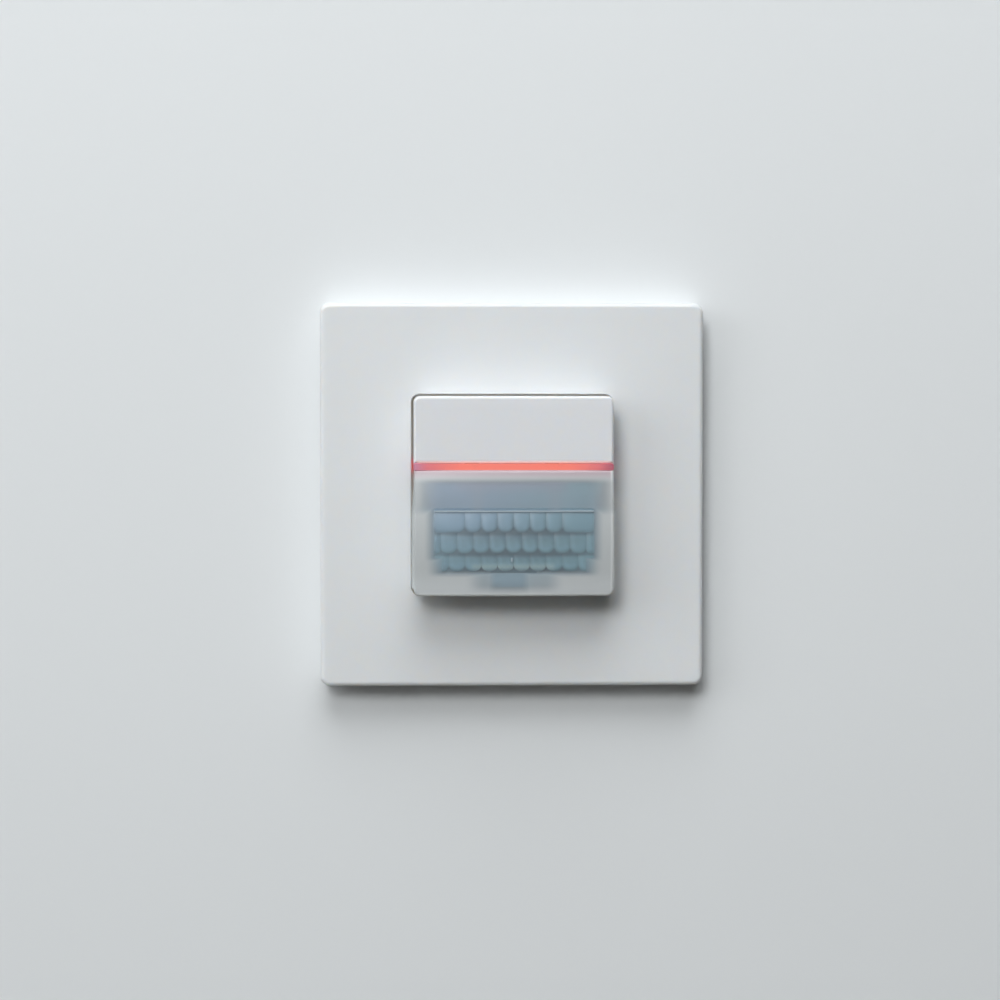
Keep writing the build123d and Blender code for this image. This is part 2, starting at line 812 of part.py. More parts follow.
# Copper cages, one for each pole, with a solder pin through the board
cage_half = chamber_height / 2 - part_clearance
cage_front_level = power_back_level - seat_clearance
with BuildPart() as terminal_cages:
    for x, z in pole_places:
        with BuildSketch(Plane.YZ.offset(x - cage_width / 2)):
            with Locations((-cage_front_level + cage_depth / 2, z)):
                Rectangle(cage_depth, 2 * cage_half)
            with Locations((-cage_front_level + cage_depth / 2 + cage_wall, z)):
                Rectangle(cage_depth, 2 * (cage_half - cage_wall), mode=Mode.SUBTRACT)
        extrude(amount=cage_width)
        with BuildSketch(face_on(cage_front_level)):
            with Locations((x, z)):
                Rectangle(cage_pin_width, cage_pin_width - part_clearance)
        extrude(amount=seat_clearance + board_wall + pin_proud)
terminal_cages.part.label = "terminal_cages"
export_step(terminal_cages.part, "parts/terminal_cages.step")

# Leaf springs that press the wires against the cages
spring_root_y = -(cage_front_level - cage_wall)
prong_half = wire_spacing / 2
with BuildPart() as terminal_springs:
    for x, z in pole_places:
        with BuildSketch(Plane.YZ.offset(x - spring_width / 2)):
            with BuildLine():
                leaf = FilletPolyline(
                    (spring_root_y + spring_prong_depth, z - prong_half),
                    (spring_root_y, z - spring_root_half),
                    (spring_root_y, z + spring_root_half),
                    (spring_root_y + spring_prong_depth, z + prong_half),
                    radius=spring_bend_radius,
                )
                offset(leaf, amount=spring_wall, side=Side.RIGHT)
            make_face()
        extrude(amount=spring_width)
terminal_springs.part.label = "terminal_springs"
export_step(terminal_springs.part, "parts/terminal_springs.step")

# Release keys: each slides in its slot and is kept by the foot inside the chamber
key_stand = key_travel + seat_clearance
key_back_level = block_back_level - key_stand
for number, (x, z) in enumerate(pole_places, start=1):
    with BuildPart() as terminal_release:
        with BuildSketch(face_on(key_back_level)):
            with Locations((x, z)):
                Rectangle(key_width, key_height)
        extrude(amount=chamber_level - key_back_level + part_clearance)
        with BuildSketch(face_on(chamber_level + part_clearance)):
            with Locations((x, z)):
                Rectangle(key_foot_width, key_height)
        extrude(amount=key_foot_height)
        with BuildSketch(face_on(key_back_level)):
            with Locations((x, z)):
                Rectangle(key_width, key_groove)
        extrude(amount=key_groove, mode=Mode.SUBTRACT)
    terminal_release.part.label = f"terminal_release_{number}"
    export_step(terminal_release.part, f"parts/terminal_release_{number}.step")

# Socket for the head's pins, standing on the power board
with BuildPart() as board_socket:
    with BuildSketch(face_on(power_board_level)):
        Rectangle(socket_width, socket_height)
    extrude(amount=socket_front_level - power_board_level)
    with BuildSketch(face_on(socket_front_level)):
        with GridLocations(pin_pitch, pin_pitch, pin_count, 1):
            Rectangle(pin_side + 2 * part_clearance, pin_side + 2 * part_clearance)
    extrude(amount=-plug_bite - seat_clearance, mode=Mode.SUBTRACT)
board_socket.part.label = "board_socket"
export_step(board_socket.part, "parts/board_socket.step")

# Head base: the tub that carries the head
board_screw_places = [
    (side * board_screw_x, end * board_screw_z) for side in (-1, 1) for end in (-1, 1)
]
cover_tab_z = -head_half + head_wall / 2
snap_arm_top = flange_level - snap_reach
with BuildPart() as sensor_base:
    with BuildSketch(face_on(flange_level)):
        RectangleRounded(head_side, head_side, head_corner_radius)
        Rectangle(
            socket_width + 2 * seat_clearance,
            socket_height + 2 * seat_clearance,
            mode=Mode.SUBTRACT,
        )
    extrude(amount=base_depth)
    with BuildSketch(face_on(floor_level)):
        RectangleRounded(2 * base_cavity_half, 2 * base_cavity_half, head_corner_radius)
    extrude(amount=base_depth, mode=Mode.SUBTRACT)
    with BuildSketch(face_on(floor_level)):
        with Locations(*board_screw_places):
            Circle(board_post_radius)
    extrude(amount=board_gap)
    with BuildSketch(face_on(floor_level - base_floor_wall / 2)):
        with Locations(*board_screw_places):
            Circle(board_screw_radius)
    extrude(amount=board_gap + base_floor_wall, mode=Mode.SUBTRACT)
    with BuildSketch(face_on(rim_level)):
        with Locations((-cover_tab_x, cover_tab_z), (cover_tab_x, cover_tab_z)):
            Rectangle(
                cover_tab_width + 2 * part_clearance,
                cover_tab_wall + 2 * part_clearance,
            )
    extrude(amount=-cover_tab_depth - part_clearance, mode=Mode.SUBTRACT)
    with BuildSketch(face_on(snap_arm_top)):
        with Locations((0, -snap_z), (0, snap_z)):
            Rectangle(snap_width, snap_wall)
    extrude(amount=snap_reach)
    barb_z = snap_z + (snap_wall + snap_barb) / 2
    with BuildSketch(face_on(lid_back_level - part_clearance)):
        with Locations((0, -barb_z), (0, barb_z)):
            Rectangle(snap_width, snap_barb)
    extrude(amount=-snap_barb_height)
sensor_base.part.label = "sensor_base"
export_step(sensor_base.part, "parts/sensor_base.step")

# Head board
catch_z = base_cavity_half - deck_margin - catch_wall / 2
can_pin_places = [
    (-can_pin_circle, can_z),
    (can_pin_circle, can_z),
    (0, can_z - can_pin_circle),
]
catch_notch_height = catch_wall + catch_barb + 2 * seat_clearance
catch_notch_z = catch_z - catch_barb / 2
with BuildPart() as sensor_board:
    with BuildSketch(face_on(board_back_level)):
        RectangleRounded(2 * board_half, 2 * board_half, head_corner_radius)
        with Locations(*board_screw_places):
            Circle(board_screw_radius + part_clearance, mode=Mode.SUBTRACT)
        with GridLocations(pin_pitch, pin_pitch, pin_count, 1):
            Rectangle(pin_side + part_clearance, pin_side + part_clearance, mode=Mode.SUBTRACT)
        with Locations(*can_pin_places):
            Circle(can_pin_radius + part_clearance, mode=Mode.SUBTRACT)
        with Locations((-catch_x, catch_notch_z), (catch_x, catch_notch_z)):
            Rectangle(
                catch_width + 2 * seat_clearance,
                catch_notch_height,
                mode=Mode.SUBTRACT,
            )
    extrude(amount=board_wall)
sensor_board.part.label = "sensor_board"
export_step(sensor_board.part, "parts/sensor_board.step")

with BuildPart() as board_screws:
    with BuildSketch(face_on(floor_level)):
        with Locations(*board_screw_places):
            Circle(board_screw_radius - slide_clearance)
    extrude(amount=board_gap + board_wall)
    with BuildSketch(face_on(board_level)):
        with Locations(*board_screw_places):
            Circle(board_screw_head_radius)
    extrude(amount=board_screw_head_height)
    with BuildSketch(face_on(board_level + board_screw_head_height / 2)):
        with Locations(*board_screw_places):
            Rectangle(2 * board_screw_head_radius, dial_slot_width)
    extrude(amount=board_screw_head_height, mode=Mode.SUBTRACT)
board_screws.part.label = "board_screws"
export_step(board_screws.part, "parts/board_screws.step")

# Plug: a moulded strip and its square pins
header_level = board_back_level - header_height
pin_tip_level = socket_front_level - plug_bite
with BuildPart() as header_strip:
    with BuildSketch(face_on(header_level)):
        Rectangle(pin_count * pin_pitch, header_height)
        with GridLocations(pin_pitch, pin_pitch, pin_count, 1):
            Rectangle(pin_side, pin_side, mode=Mode.SUBTRACT)
    extrude(amount=header_height)
header_strip.part.label = "header_strip"
export_step(header_strip.part, "parts/header_strip.step")

with BuildPart() as header_pins:
    with BuildSketch(face_on(pin_tip_level)):
        with GridLocations(pin_pitch, pin_pitch, pin_count, 1):
            Rectangle(pin_side, pin_side)
    extrude(amount=board_level + pin_proud - pin_tip_level)
header_pins.part.label = "header_pins"
export_step(header_pins.part, "parts/header_pins.step")

# Heat sensor: can, filter window and leads
with BuildPart() as pir_can:
    with BuildSketch(face_on(board_level)):
        with Locations((0, can_z)):
            Circle(can_radius)
    extrude(amount=can_height)
    chamfer(pir_can.faces().sort_by(Axis.Y)[0].edges(), can_edge_break)
    with BuildSketch(face_on(board_level)):
        with Locations((0, can_z)):
            Circle(can_radius + can_flange)
    extrude(amount=can_flange_height)
    with BuildSketch(face_on(board_level + can_flange_height)):
        with Locations((0, can_z)):
            Circle(can_radius - can_wall)
    extrude(amount=can_height - can_flange_height - can_wall, mode=Mode.SUBTRACT)
    with BuildSketch(face_on(board_level + can_height - can_wall)):
        with Locations((0, can_z)):
            Rectangle(window_width, window_height)
    extrude(amount=can_wall, mode=Mode.SUBTRACT)
pir_can.part.label = "pir_can"
export_step(pir_can.part, "parts/pir_can.step")

with BuildPart() as pir_window:
    with BuildSketch(face_on(board_level + can_height - 2 * can_wall)):
        with Locations((0, can_z)):
            Rectangle(window_width + 2 * can_wall, window_height + 2 * can_wall)
    extrude(amount=can_wall)
pir_window.part.label = "pir_window"
export_step(pir_window.part, "parts/pir_window.step")

with BuildPart() as pir_pins:
    with BuildSketch(face_on(board_back_level - pin_proud)):
        with Locations(*can_pin_places):
            Circle(can_pin_radius)
    extrude(amount=board_wall + pin_proud)
pir_pins.part.label = "pir_pins"
export_step(pir_pins.part, "parts/pir_pins.step")

# Light sensor with its small dome
with BuildPart() as light_sensor:
    with BuildSketch(face_on(board_level)):
        with Locations((light_sensor_x, light_sensor_z)):
            Rectangle(light_sensor_side, light_sensor_side)
    extrude(amount=light_sensor_height)
    with BuildSketch(face_on(board_level + light_sensor_height)):
        with Locations((light_sensor_x, light_sensor_z)):
            Circle(light_sensor_dome)
    extrude(amount=light_sensor_dome / 2)
light_sensor.part.label = "light_sensor"
export_step(light_sensor.part, "parts/light_sensor.step")

# Lamps under the legs of the light bar
bar_z = (bar_top + bar_bottom) / 2
leg_places = [(-leg_x, bar_z), (leg_x, bar_z)]
with BuildPart() as status_leds:
    with BuildSketch(face_on(board_level)):
        with Locations(*leg_places):
            Rectangle(led_width, led_depth)
    extrude(amount=led_height)
status_leds.part.label = "status_leds"
export_step(status_leds.part, "parts/status_leds.step")

# Controller chip
with BuildPart() as controller_chip:
    with BuildSketch(face_on(board_level)):
        with Locations((controller_x, controller_z)):
            Rectangle(controller_side, controller_side)
    extrude(amount=controller_height)
    with BuildSketch(face_on(board_level)):
        add(
            leg_row(
                controller_x,
                controller_z,
                controller_side / 2,
                controller_legs,
                2 * chip_leg_width,
            )
        )
    extrude(amount=chip_leg_wall)
controller_chip.part.label = "controller_chip"
export_step(controller_chip.part, "parts/controller_chip.step")

with BuildPart() as board_capacitors:
    with BuildSketch(face_on(board_level)):
        with Locations((capacitor_x, capacitor_z)):
            with GridLocations(capacitor_pitch, capacitor_pitch, capacitor_count // 2, 2):
                Rectangle(capacitor_length, capacitor_width)
    extrude(amount=capacitor_height)
board_capacitors.part.label = "board_capacitors"
export_step(board_capacitors.part, "parts/board_capacitors.step")

# Carrier deck: guides the cap, holds the lens and the feet of the bar
deck_half = head_half - head_wall - deck_margin
lens_half = head_half - head_wall - lens_gap
lens_top = bar_bottom - head_wall - lens_gap
lens_foot = -lens_half
chamber_margin = lens_foot_wall + chamber_rim_wall + seat_clearance
chamber_top = lens_top - chamber_margin
chamber_foot = lens_foot + chamber_margin
chamber_height_clear = chamber_top - chamber_foot
chamber_z = (chamber_top + chamber_foot) / 2
dial_places = [(-dial_spacing, dial_z), (0, dial_z), (dial_spacing, dial_z)]
post_places = [(-post_x, post_z), (post_x, post_z)]
post_bore_radius = post_radius + slide_clearance
deck_trimmer_side = trimmer_side + 2 * part_clearance
deck_switch_side = switch_side + 2 * part_clearance
deck_notch_width = 2 * (deck_half + part_clearance)
rim_side_width = 2 * (chamber_half_width + chamber_rim_wall)
rim_side_height = chamber_height_clear + 2 * chamber_rim_wall
with BuildPart() as carrier:
    with BuildSketch(face_on(rim_level)):
        RectangleRounded(2 * deck_half, 2 * deck_half, head_corner_radius)
        with Locations((0, chamber_z)):
            Rectangle(2 * chamber_half_width, chamber_height_clear, mode=Mode.SUBTRACT)
        with Locations(*dial_places):
            Rectangle(deck_trimmer_side, deck_trimmer_side, mode=Mode.SUBTRACT)
        with Locations((0, switch_z)):
            Rectangle(deck_switch_side, deck_switch_side, mode=Mode.SUBTRACT)
        with Locations(*leg_places):
            Rectangle(
                leg_tip_width + 2 * part_clearance,
                leg_wall + 2 * part_clearance,
                mode=Mode.SUBTRACT,
            )
        with Locations((-catch_x, catch_notch_z), (catch_x, catch_notch_z)):
            Rectangle(
                catch_width + 2 * part_clearance,
                catch_notch_height,
                mode=Mode.SUBTRACT,
            )
    extrude(amount=deck_wall)
    with BuildSketch(face_on(deck_level)):
        with Locations((0, chamber_z)):
            Rectangle(rim_side_width, rim_side_height)
            Rectangle(2 * chamber_half_width, chamber_height_clear, mode=Mode.SUBTRACT)
    extrude(amount=chamber_rim_height)
    with BuildSketch(face_on(deck_level)):
        with Locations(*post_places):
            Circle(sleeve_radius)
    extrude(amount=sleeve_height)
    with BuildSketch(face_on(deck_level + sleeve_height)):
        with Locations(*post_places):
            Circle(post_bore_radius)
    extrude(amount=-sleeve_height - deck_wall, mode=Mode.SUBTRACT)
carrier.part.label = "carrier"
export_step(carrier.part, "parts/carrier.step")

# Setting dials: a body on the board and a slotted rotor that turns in it
trimmer_level = board_level + trimmer_height
dial_names = ("time", "brightness", "range")
for name, place in zip(dial_names, dial_places):
    with BuildPart() as trimmer:
        with BuildSketch(face_on(board_level)):
            with Locations(place):
                Rectangle(trimmer_side, trimmer_side)
        extrude(amount=trimmer_height)
        with BuildSketch(face_on(trimmer_level)):
            with Locations(place):
                Circle(dial_spigot_radius + slide_clearance)
        extrude(amount=-dial_spigot_depth - part_clearance, mode=Mode.SUBTRACT)
    trimmer.part.label = f"{name}_trimmer"
    export_step(trimmer.part, f"parts/{name}_trimmer.step")

    with BuildPart() as dial:
        with BuildSketch(face_on(trimmer_level - dial_spigot_depth)):
            with Locations(place):
                Circle(dial_spigot_radius)
        extrude(amount=dial_spigot_depth)
        with BuildSketch(face_on(trimmer_level)):
            with Locations(place):
                Circle(dial_radius)
        extrude(amount=dial_height)
        with BuildSketch(face_on(trimmer_level + dial_height)):
            with Locations(place):
                Rectangle(2 * dial_radius + overrun, dial_slot_width)
                with Locations((0, dial_radius / 2)):
                    Rectangle(dial_slot_width, dial_radius)
        extrude(amount=-dial_slot_depth, mode=Mode.SUBTRACT)
    dial.part.label = f"{name}_dial"
    export_step(dial.part, f"parts/{name}_dial.step")

# Push switch: body and stem
switch_level = board_level + switch_height
stem_level = switch_level + switch_stem_stand
with BuildPart() as push_switch_body:
    with BuildSketch(face_on(board_level)):
        with Locations((0, switch_z)):
            Rectangle(switch_side, switch_side)
    extrude(amount=switch_height)
    chamfer(push_switch_body.edges().filter_by(Axis.Y), switch_edge_break)
    with BuildSketch(face_on(switch_level)):
        with Locations((0, switch_z)):
            Circle(switch_stem_radius + slide_clearance)
    extrude(amount=-switch_stem_depth - cap_travel - part_clearance, mode=Mode.SUBTRACT)
push_switch_body.part.label = "push_switch_body"
export_step(push_switch_body.part, "parts/push_switch_body.step")

with BuildPart() as push_switch_stem:
    with BuildSketch(face_on(switch_level - switch_stem_depth)):
        with Locations((0, switch_z)):
            Circle(switch_stem_radius)
    extrude(amount=switch_stem_depth + switch_stem_stand)
    chamfer(push_switch_stem.faces().sort_by(Axis.Y)[0].edges(), switch_edge_break)
push_switch_stem.part.label = "push_switch_stem"
export_step(push_switch_stem.part, "parts/push_switch_stem.step")

# Button cap with its guide posts, catches, ribs and ram
cap_inner_top = head_half - head_wall
cap_outline_height = head_half - cap_bottom
cap_cavity_height = cap_outline_height - 2 * head_wall
cap_mid_z = (head_half + cap_bottom) / 2
post_tip_level = deck_level - post_reach
catch_tip_level = rim_level - part_clearance - catch_barb_height
with BuildPart() as button_cap:
    with BuildSketch(face_on(cap_back_level)):
        add(top_rounded(head_side, cap_outline_height, head_corner_radius, head_half))
    extrude(amount=cap_face_level - cap_back_level)
    fillet(button_cap.faces().sort_by(Axis.Y)[0].edges(), cap_edge_round)
    with BuildSketch(face_on(cap_back_level)):
        with Locations((0, cap_mid_z)):
            Rectangle(head_side - 2 * head_wall, cap_cavity_height)
    extrude(amount=cap_inner_level - cap_back_level, mode=Mode.SUBTRACT)
    with BuildSketch(face_on(cap_back_level)):
        with Locations((0, cap_bottom)):
            Rectangle(deck_notch_width, 2 * head_wall + overrun)
    extrude(amount=deck_wall, mode=Mode.SUBTRACT)
    with BuildSketch(face_on(cap_inner_level - cap_rib_depth)):
        with Locations((-dial_spacing / 2, cap_mid_z), (dial_spacing / 2, cap_mid_z)):
            Rectangle(cap_rib_wall, cap_cavity_height)
    extrude(amount=cap_rib_depth)
    with BuildSketch(face_on(post_tip_level)):
        with Locations(*post_places):
            Circle(post_radius)
    extrude(amount=cap_inner_level - post_tip_level)
    with BuildSketch(face_on(stem_level)):
        with Locations((0, switch_z)):
            Circle(ram_radius)
    extrude(amount=cap_inner_level - stem_level)
    with BuildSketch(face_on(catch_tip_level)):
        with Locations((-catch_x, catch_z), (catch_x, catch_z)):
            Rectangle(catch_width, catch_wall)
    extrude(amount=cap_inner_level - catch_tip_level)
    catch_barb_z = catch_z - (catch_wall + catch_barb) / 2
    with BuildSketch(face_on(catch_tip_level)):
        with Locations((-catch_x, catch_barb_z), (catch_x, catch_barb_z)):
            Rectangle(catch_width, catch_barb)
    extrude(amount=catch_barb_height)
button_cap.part.label = "button_cap"
export_step(button_cap.part, "parts/button_cap.step")

# Return springs, wound round the guide posts
spring_seat_level = deck_level + sleeve_height
spring_length = cap_inner_level - spring_seat_level - 2 * coil_wire_radius
with BuildPart() as button_springs:
    for x, z in post_places:
        with BuildLine() as coil:
            Helix(
                pitch=spring_length / coil_turns,
                height=spring_length,
                radius=coil_radius,
                center=(x, -spring_seat_level - coil_wire_radius, z),
                direction=(0, -1, 0),
            )
        with BuildSketch(Plane(origin=coil.line @ 0, z_dir=coil.line % 0)):
            RegularPolygon(coil_wire_radius, 6)
        sweep(path=coil.line, is_frenet=True)
button_springs.part.label = "button_springs"
export_step(button_springs.part, "parts/button_springs.step")

# Light bar with two legs that stand on the deck and reach through to the lamps
leg_shoulder_level = deck_level
leg_tip_level = board_level + led_height + part_clearance
with BuildPart() as light_guide_bar:
    with BuildSketch(face_on(bar_face_level - bar_depth)):
        with Locations((0, bar_z)):
            Rectangle(head_side, bar_height)
    extrude(amount=bar_depth)
    fillet(light_guide_bar.edges().filter_by(Axis.Y), opening_edge_round)
    with BuildSketch(face_on(rim_level)):
        with GridLocations(head_side - bar_end_wall, 0, 2, 1):
            with Locations((0, bar_z)):
                Rectangle(bar_end_wall, bar_height)
    extrude(amount=bar_face_level - bar_depth - rim_level)
    with BuildSketch(face_on(leg_shoulder_level)):
        with Locations(*leg_places):
            Rectangle(leg_width, leg_wall)
    extrude(amount=bar_face_level - bar_depth - leg_shoulder_level)
    with BuildSketch(face_on(leg_tip_level)):
        with Locations(*leg_places):
            Rectangle(leg_tip_width, leg_wall)
    extrude(amount=leg_shoulder_level - leg_tip_level)
light_guide_bar.part.label = "light_guide_bar"
export_step(light_guide_bar.part, "parts/light_guide_bar.step")

# Lens cover: a crowned shell with cheeks that close the gap to the frame
cheek_front_level = crown_level - cheek_front_drop
cover_inner_top = bar_bottom - head_wall
cover_inner_height = cover_inner_top + cap_inner_top
cover_inner_z = (cover_inner_top - cap_inner_top) / 2
cover_hollow = crowned_block(
    2 * cap_inner_top, cover_inner_height, cover_inner_z, rim_level - overrun, cover_inner_level
)
with BuildPart() as lens_cover:
    with BuildSketch(face_on(rim_level)):
        add(foot_rounded(head_side, cover_height, head_corner_radius, -head_half))
    extrude(amount=crown_level - rim_level)
    revolve(crown_section(crown_level), axis=crown_axis, mode=Mode.INTERSECT)
    front_face = lens_cover.faces().sort_by(Axis.Y)[0]
    fillet(front_face.edges(), cover_edge_round)
    with BuildSketch(face_on(rim_level)):
        with BuildLine():
            cheek_x = head_half + cheek_wall
            Polyline(
                (-head_half, cheek_top + cheek_blend),
                (head_half, cheek_top + cheek_blend),
                (cheek_x, cheek_top),
                (cheek_x, cheek_bottom),
                (head_half, cheek_bottom - cheek_wall),
                (-head_half, cheek_bottom - cheek_wall),
                (-cheek_x, cheek_bottom),
                (-cheek_x, cheek_top),
                close=True,
            )
        make_face()
    extrude(amount=cheek_front_level - rim_level)
    add(cover_hollow, mode=Mode.SUBTRACT)
    with BuildSketch(face_on(rim_level)):
        with Locations((0, bar_bottom)):
            Rectangle(deck_notch_width, 2 * head_wall + overrun)
    extrude(amount=deck_wall, mode=Mode.SUBTRACT)
    with BuildSketch(face_on(rim_level)):
        with Locations((-cover_tab_x, cover_tab_z), (cover_tab_x, cover_tab_z)):
            Rectangle(cover_tab_width, cover_tab_wall)
    extrude(amount=-cover_tab_depth)
lens_cover.part.label = "lens_cover"
export_step(lens_cover.part, "parts/lens_cover.step")


def segment(left, right, top, foot):
    """One lens segment: straight top and sides, and a foot that bulges down in an arc."""
    with BuildSketch() as outline:
        with BuildLine():
            shoulder = foot + segment_scallop
            arc = ThreePointArc((left, shoulder), ((left + right) / 2, foot), (right, shoulder))
            Polyline(arc @ 0, (left, top), (right, top), arc @ 1)
        make_face()
    return outline.sketch


def segment_row(top, height, first_edge):
    """A row of segments from one edge of the lens to the other, with its joints at the pitch."""
    edges = [first_edge]
    while edges[-1] + row_pitch < rows_half_width:
        edges.append(edges[-1] + row_pitch)
    edges = [-rows_half_width] + edges + [rows_half_width]
    with BuildSketch() as row:
        for left, right in zip(edges[:-1], edges[1:]):
            if right - left > 2 * segment_gap:
                add(
                    segment(
                        left + segment_gap / 2,
                        right - segment_gap / 2,
                        top - segment_gap / 2,
                        top - height + segment_gap / 2,
                    )
                )
    return row.sketch


# Segments of the lens, curved to the same crown
panel_top = lens_top - panel_top_gap
look_down_foot = lens_foot + segment_gap / 2
row_heights = [share * (panel_top - look_down_foot) for share in row_height_shares]
panel_height, first_row_height, second_row_height, third_row_height = row_heights
first_row_top = panel_top - panel_height
second_row_top = first_row_top - first_row_height
third_row_top = second_row_top - second_row_height
look_down_top = third_row_top - third_row_height
even_edge = -int(rows_half_width / row_pitch) * row_pitch
odd_edge = even_edge - row_pitch / 2
if odd_edge < segment_gap - rows_half_width:
    odd_edge = odd_edge + row_pitch
with BuildPart() as lens_segments:
    with BuildSketch(face_on(rim_level)):
        with BuildLine():
            Polyline(
                (-panel_top_half, panel_top),
                (panel_top_half, panel_top),
                (panel_foot_half, first_row_top + segment_gap / 2),
                (-panel_foot_half, first_row_top + segment_gap / 2),
                close=True,
            )
        make_face()
        add(segment_row(first_row_top, first_row_height, even_edge))
        add(segment_row(second_row_top, second_row_height, odd_edge))
        add(segment_row(third_row_top, third_row_height, even_edge))
        add(
            segment(
                -look_down_half,
                look_down_half,
                look_down_top - segment_gap / 2,
                look_down_foot,
            )
        )
    extrude(amount=crown_level - rim_level)
    revolve(
        crown_section(lens_level + segment_raise), axis=crown_axis, mode=Mode.INTERSECT
    )
    revolve(crown_section(lens_level - lens_wall / 2), axis=crown_axis, mode=Mode.SUBTRACT)

# Lens sheet on its own skirt, with the segments on its face
lens_height = lens_top - lens_foot
lens_z = (lens_top + lens_foot) / 2
lens_hollow = crowned_block(
    2 * (lens_half - lens_foot_wall),
    lens_height - 2 * lens_foot_wall,
    lens_z,
    deck_level - overrun,
    lens_level - lens_wall,
)
with BuildPart() as fresnel_lens:
    with BuildSketch(face_on(deck_level)):
        with Locations((0, lens_z)):
            Rectangle(2 * lens_half, lens_height)
    extrude(amount=crown_level - deck_level)
    revolve(crown_section(lens_level), axis=crown_axis, mode=Mode.INTERSECT)
    add(lens_hollow, mode=Mode.SUBTRACT)
    add(lens_segments.part)
fresnel_lens.part.label = "fresnel_lens"
export_step(fresnel_lens.part, "parts/fresnel_lens.step")
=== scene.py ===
# %% [markdown]
# # A motion sensor light switch on a wall
#
# The switch is a square white plate with a square insert that stands proud of it. The insert has
# a plain press cap on top, a thin bar of coral light across it, and a milky cover below, through
# which the rows of a segmented lens show blue and grey. Behind the wall sits a round insert with
# the terminals. The solids of all pieces come with the frame; this script gives them their
# finish, and adds what is too fine for the solids.

# %% Load the fixed frame
import math

import bmesh
import bpy
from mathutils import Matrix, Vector


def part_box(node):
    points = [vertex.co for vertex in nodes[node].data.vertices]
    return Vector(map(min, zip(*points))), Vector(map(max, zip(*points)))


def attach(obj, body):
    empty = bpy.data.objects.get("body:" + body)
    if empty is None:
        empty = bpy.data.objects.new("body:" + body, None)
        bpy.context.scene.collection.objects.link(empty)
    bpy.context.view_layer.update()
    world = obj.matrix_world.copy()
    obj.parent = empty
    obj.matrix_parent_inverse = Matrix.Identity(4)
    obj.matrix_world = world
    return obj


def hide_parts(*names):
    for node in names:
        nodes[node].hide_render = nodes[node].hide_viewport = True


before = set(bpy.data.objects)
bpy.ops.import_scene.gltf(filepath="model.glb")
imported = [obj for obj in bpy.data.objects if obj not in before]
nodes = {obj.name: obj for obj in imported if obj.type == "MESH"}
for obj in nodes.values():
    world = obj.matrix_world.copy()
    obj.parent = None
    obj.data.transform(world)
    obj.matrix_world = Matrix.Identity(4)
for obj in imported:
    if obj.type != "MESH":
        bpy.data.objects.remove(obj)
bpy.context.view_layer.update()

MM = 0.001

# %% [markdown]
# ## Places taken from the frame
#
# Everything that is added later sits on a node, so its place is read from that node's box. The
# wall is the plane y = 0 and the room lies towards -Y.

# %% Boxes of the pieces that show
plate_low, plate_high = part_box("cover_frame")
bar_low, bar_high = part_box("light_guide_bar")
cover_low, cover_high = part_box("lens_cover")
lens_low, lens_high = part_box("fresnel_lens")
plate_side = plate_high.x - plate_low.x
print("plate side in mm", round(plate_side / MM, 2))


def deselect_all():
    """Leaves nothing selected, so that the next operator acts on its own piece alone."""
    if bpy.context.mode != "OBJECT":
        bpy.ops.object.mode_set(mode="OBJECT")
    bpy.ops.object.select_all(action="DESELECT")


deselect_all()

# %% [markdown]
# ## Camera
#
# The photograph is taken from about half a metre, square to the wall, a little left of the
# switch and a little above it. The insert stands nearer to the lens than the plate, and that is
# why it looks a touch too large and its left and upper gaps show.

# %% Camera at the photograph's place
EYE = Vector((-19.3, -508.0, 14.1)) * MM
AIM = Vector((-2.75, -8.5, -1.2)) * MM
FOCAL_LENGTH = 78.36
bpy.ops.object.camera_add(location=EYE)
camera = bpy.context.object
camera.name = "room_camera"
camera.rotation_euler = (AIM - EYE).to_track_quat("-Z", "Y").to_euler()
camera.data.lens = FOCAL_LENGTH
camera.data.sensor_width = 36
camera.data.clip_start = 0.01
camera.data.clip_end = 20
bpy.context.scene.camera = camera
print("camera distance in mm", round((AIM - EYE).length / MM))

# %% [markdown]
# ## Light
#
# Three soft lamps light the wall. The first, to the upper left, makes the short dark shadows under
# and beside the insert. The second stands high and close to the wall: its light grazes, gives the
# shadows their long tails and fades down the wall. The third is wide and weak, far to the left.
# Two more stand behind the wall, for whoever looks at the terminals; they don't reach the front.
# The world is plain white to the eye, and as a light only a faint warm grey.

# %% Soft lamps and pale surroundings
LAMPS = [
    ("window_lamp", (-0.56, -2.00, 0.88), 0.66, 17.7, (0.97, 0.99, 1.0)),
    ("ceiling_lamp", (-0.06, -0.62, 0.92), 0.90, 9.2, (0.96, 0.985, 1.0)),
    ("side_lamp", (-1.70, -1.30, 0.62), 1.40, 12.6, (0.96, 0.985, 1.0)),
    ("rear_lamp", (0.55, 1.30, 0.80), 0.90, 16.0, (1.0, 1.0, 1.0)),
    ("rear_fill_lamp", (-1.00, 1.10, 0.10), 0.90, 9.0, (1.0, 1.0, 1.0)),
]
SKY_COLOUR = (1.0, 0.98, 0.90, 1)
SKY_STRENGTH = 0.028
SKY_SEEN = (0.93, 0.94, 0.95, 1)


def soft_lamp(name, place, side, power, colour):
    """A round soft lamp that looks at the switch."""
    bpy.ops.object.light_add(type="AREA", location=place)
    lamp = bpy.context.object
    lamp.name = name
    lamp.rotation_euler = (-Vector(place)).to_track_quat("-Z", "Y").to_euler()
    lamp.data.shape = "DISK"
    lamp.data.size = side
    lamp.data.energy = power
    lamp.data.color = colour
    return lamp


for lamp_values in LAMPS:
    soft_lamp(*lamp_values)

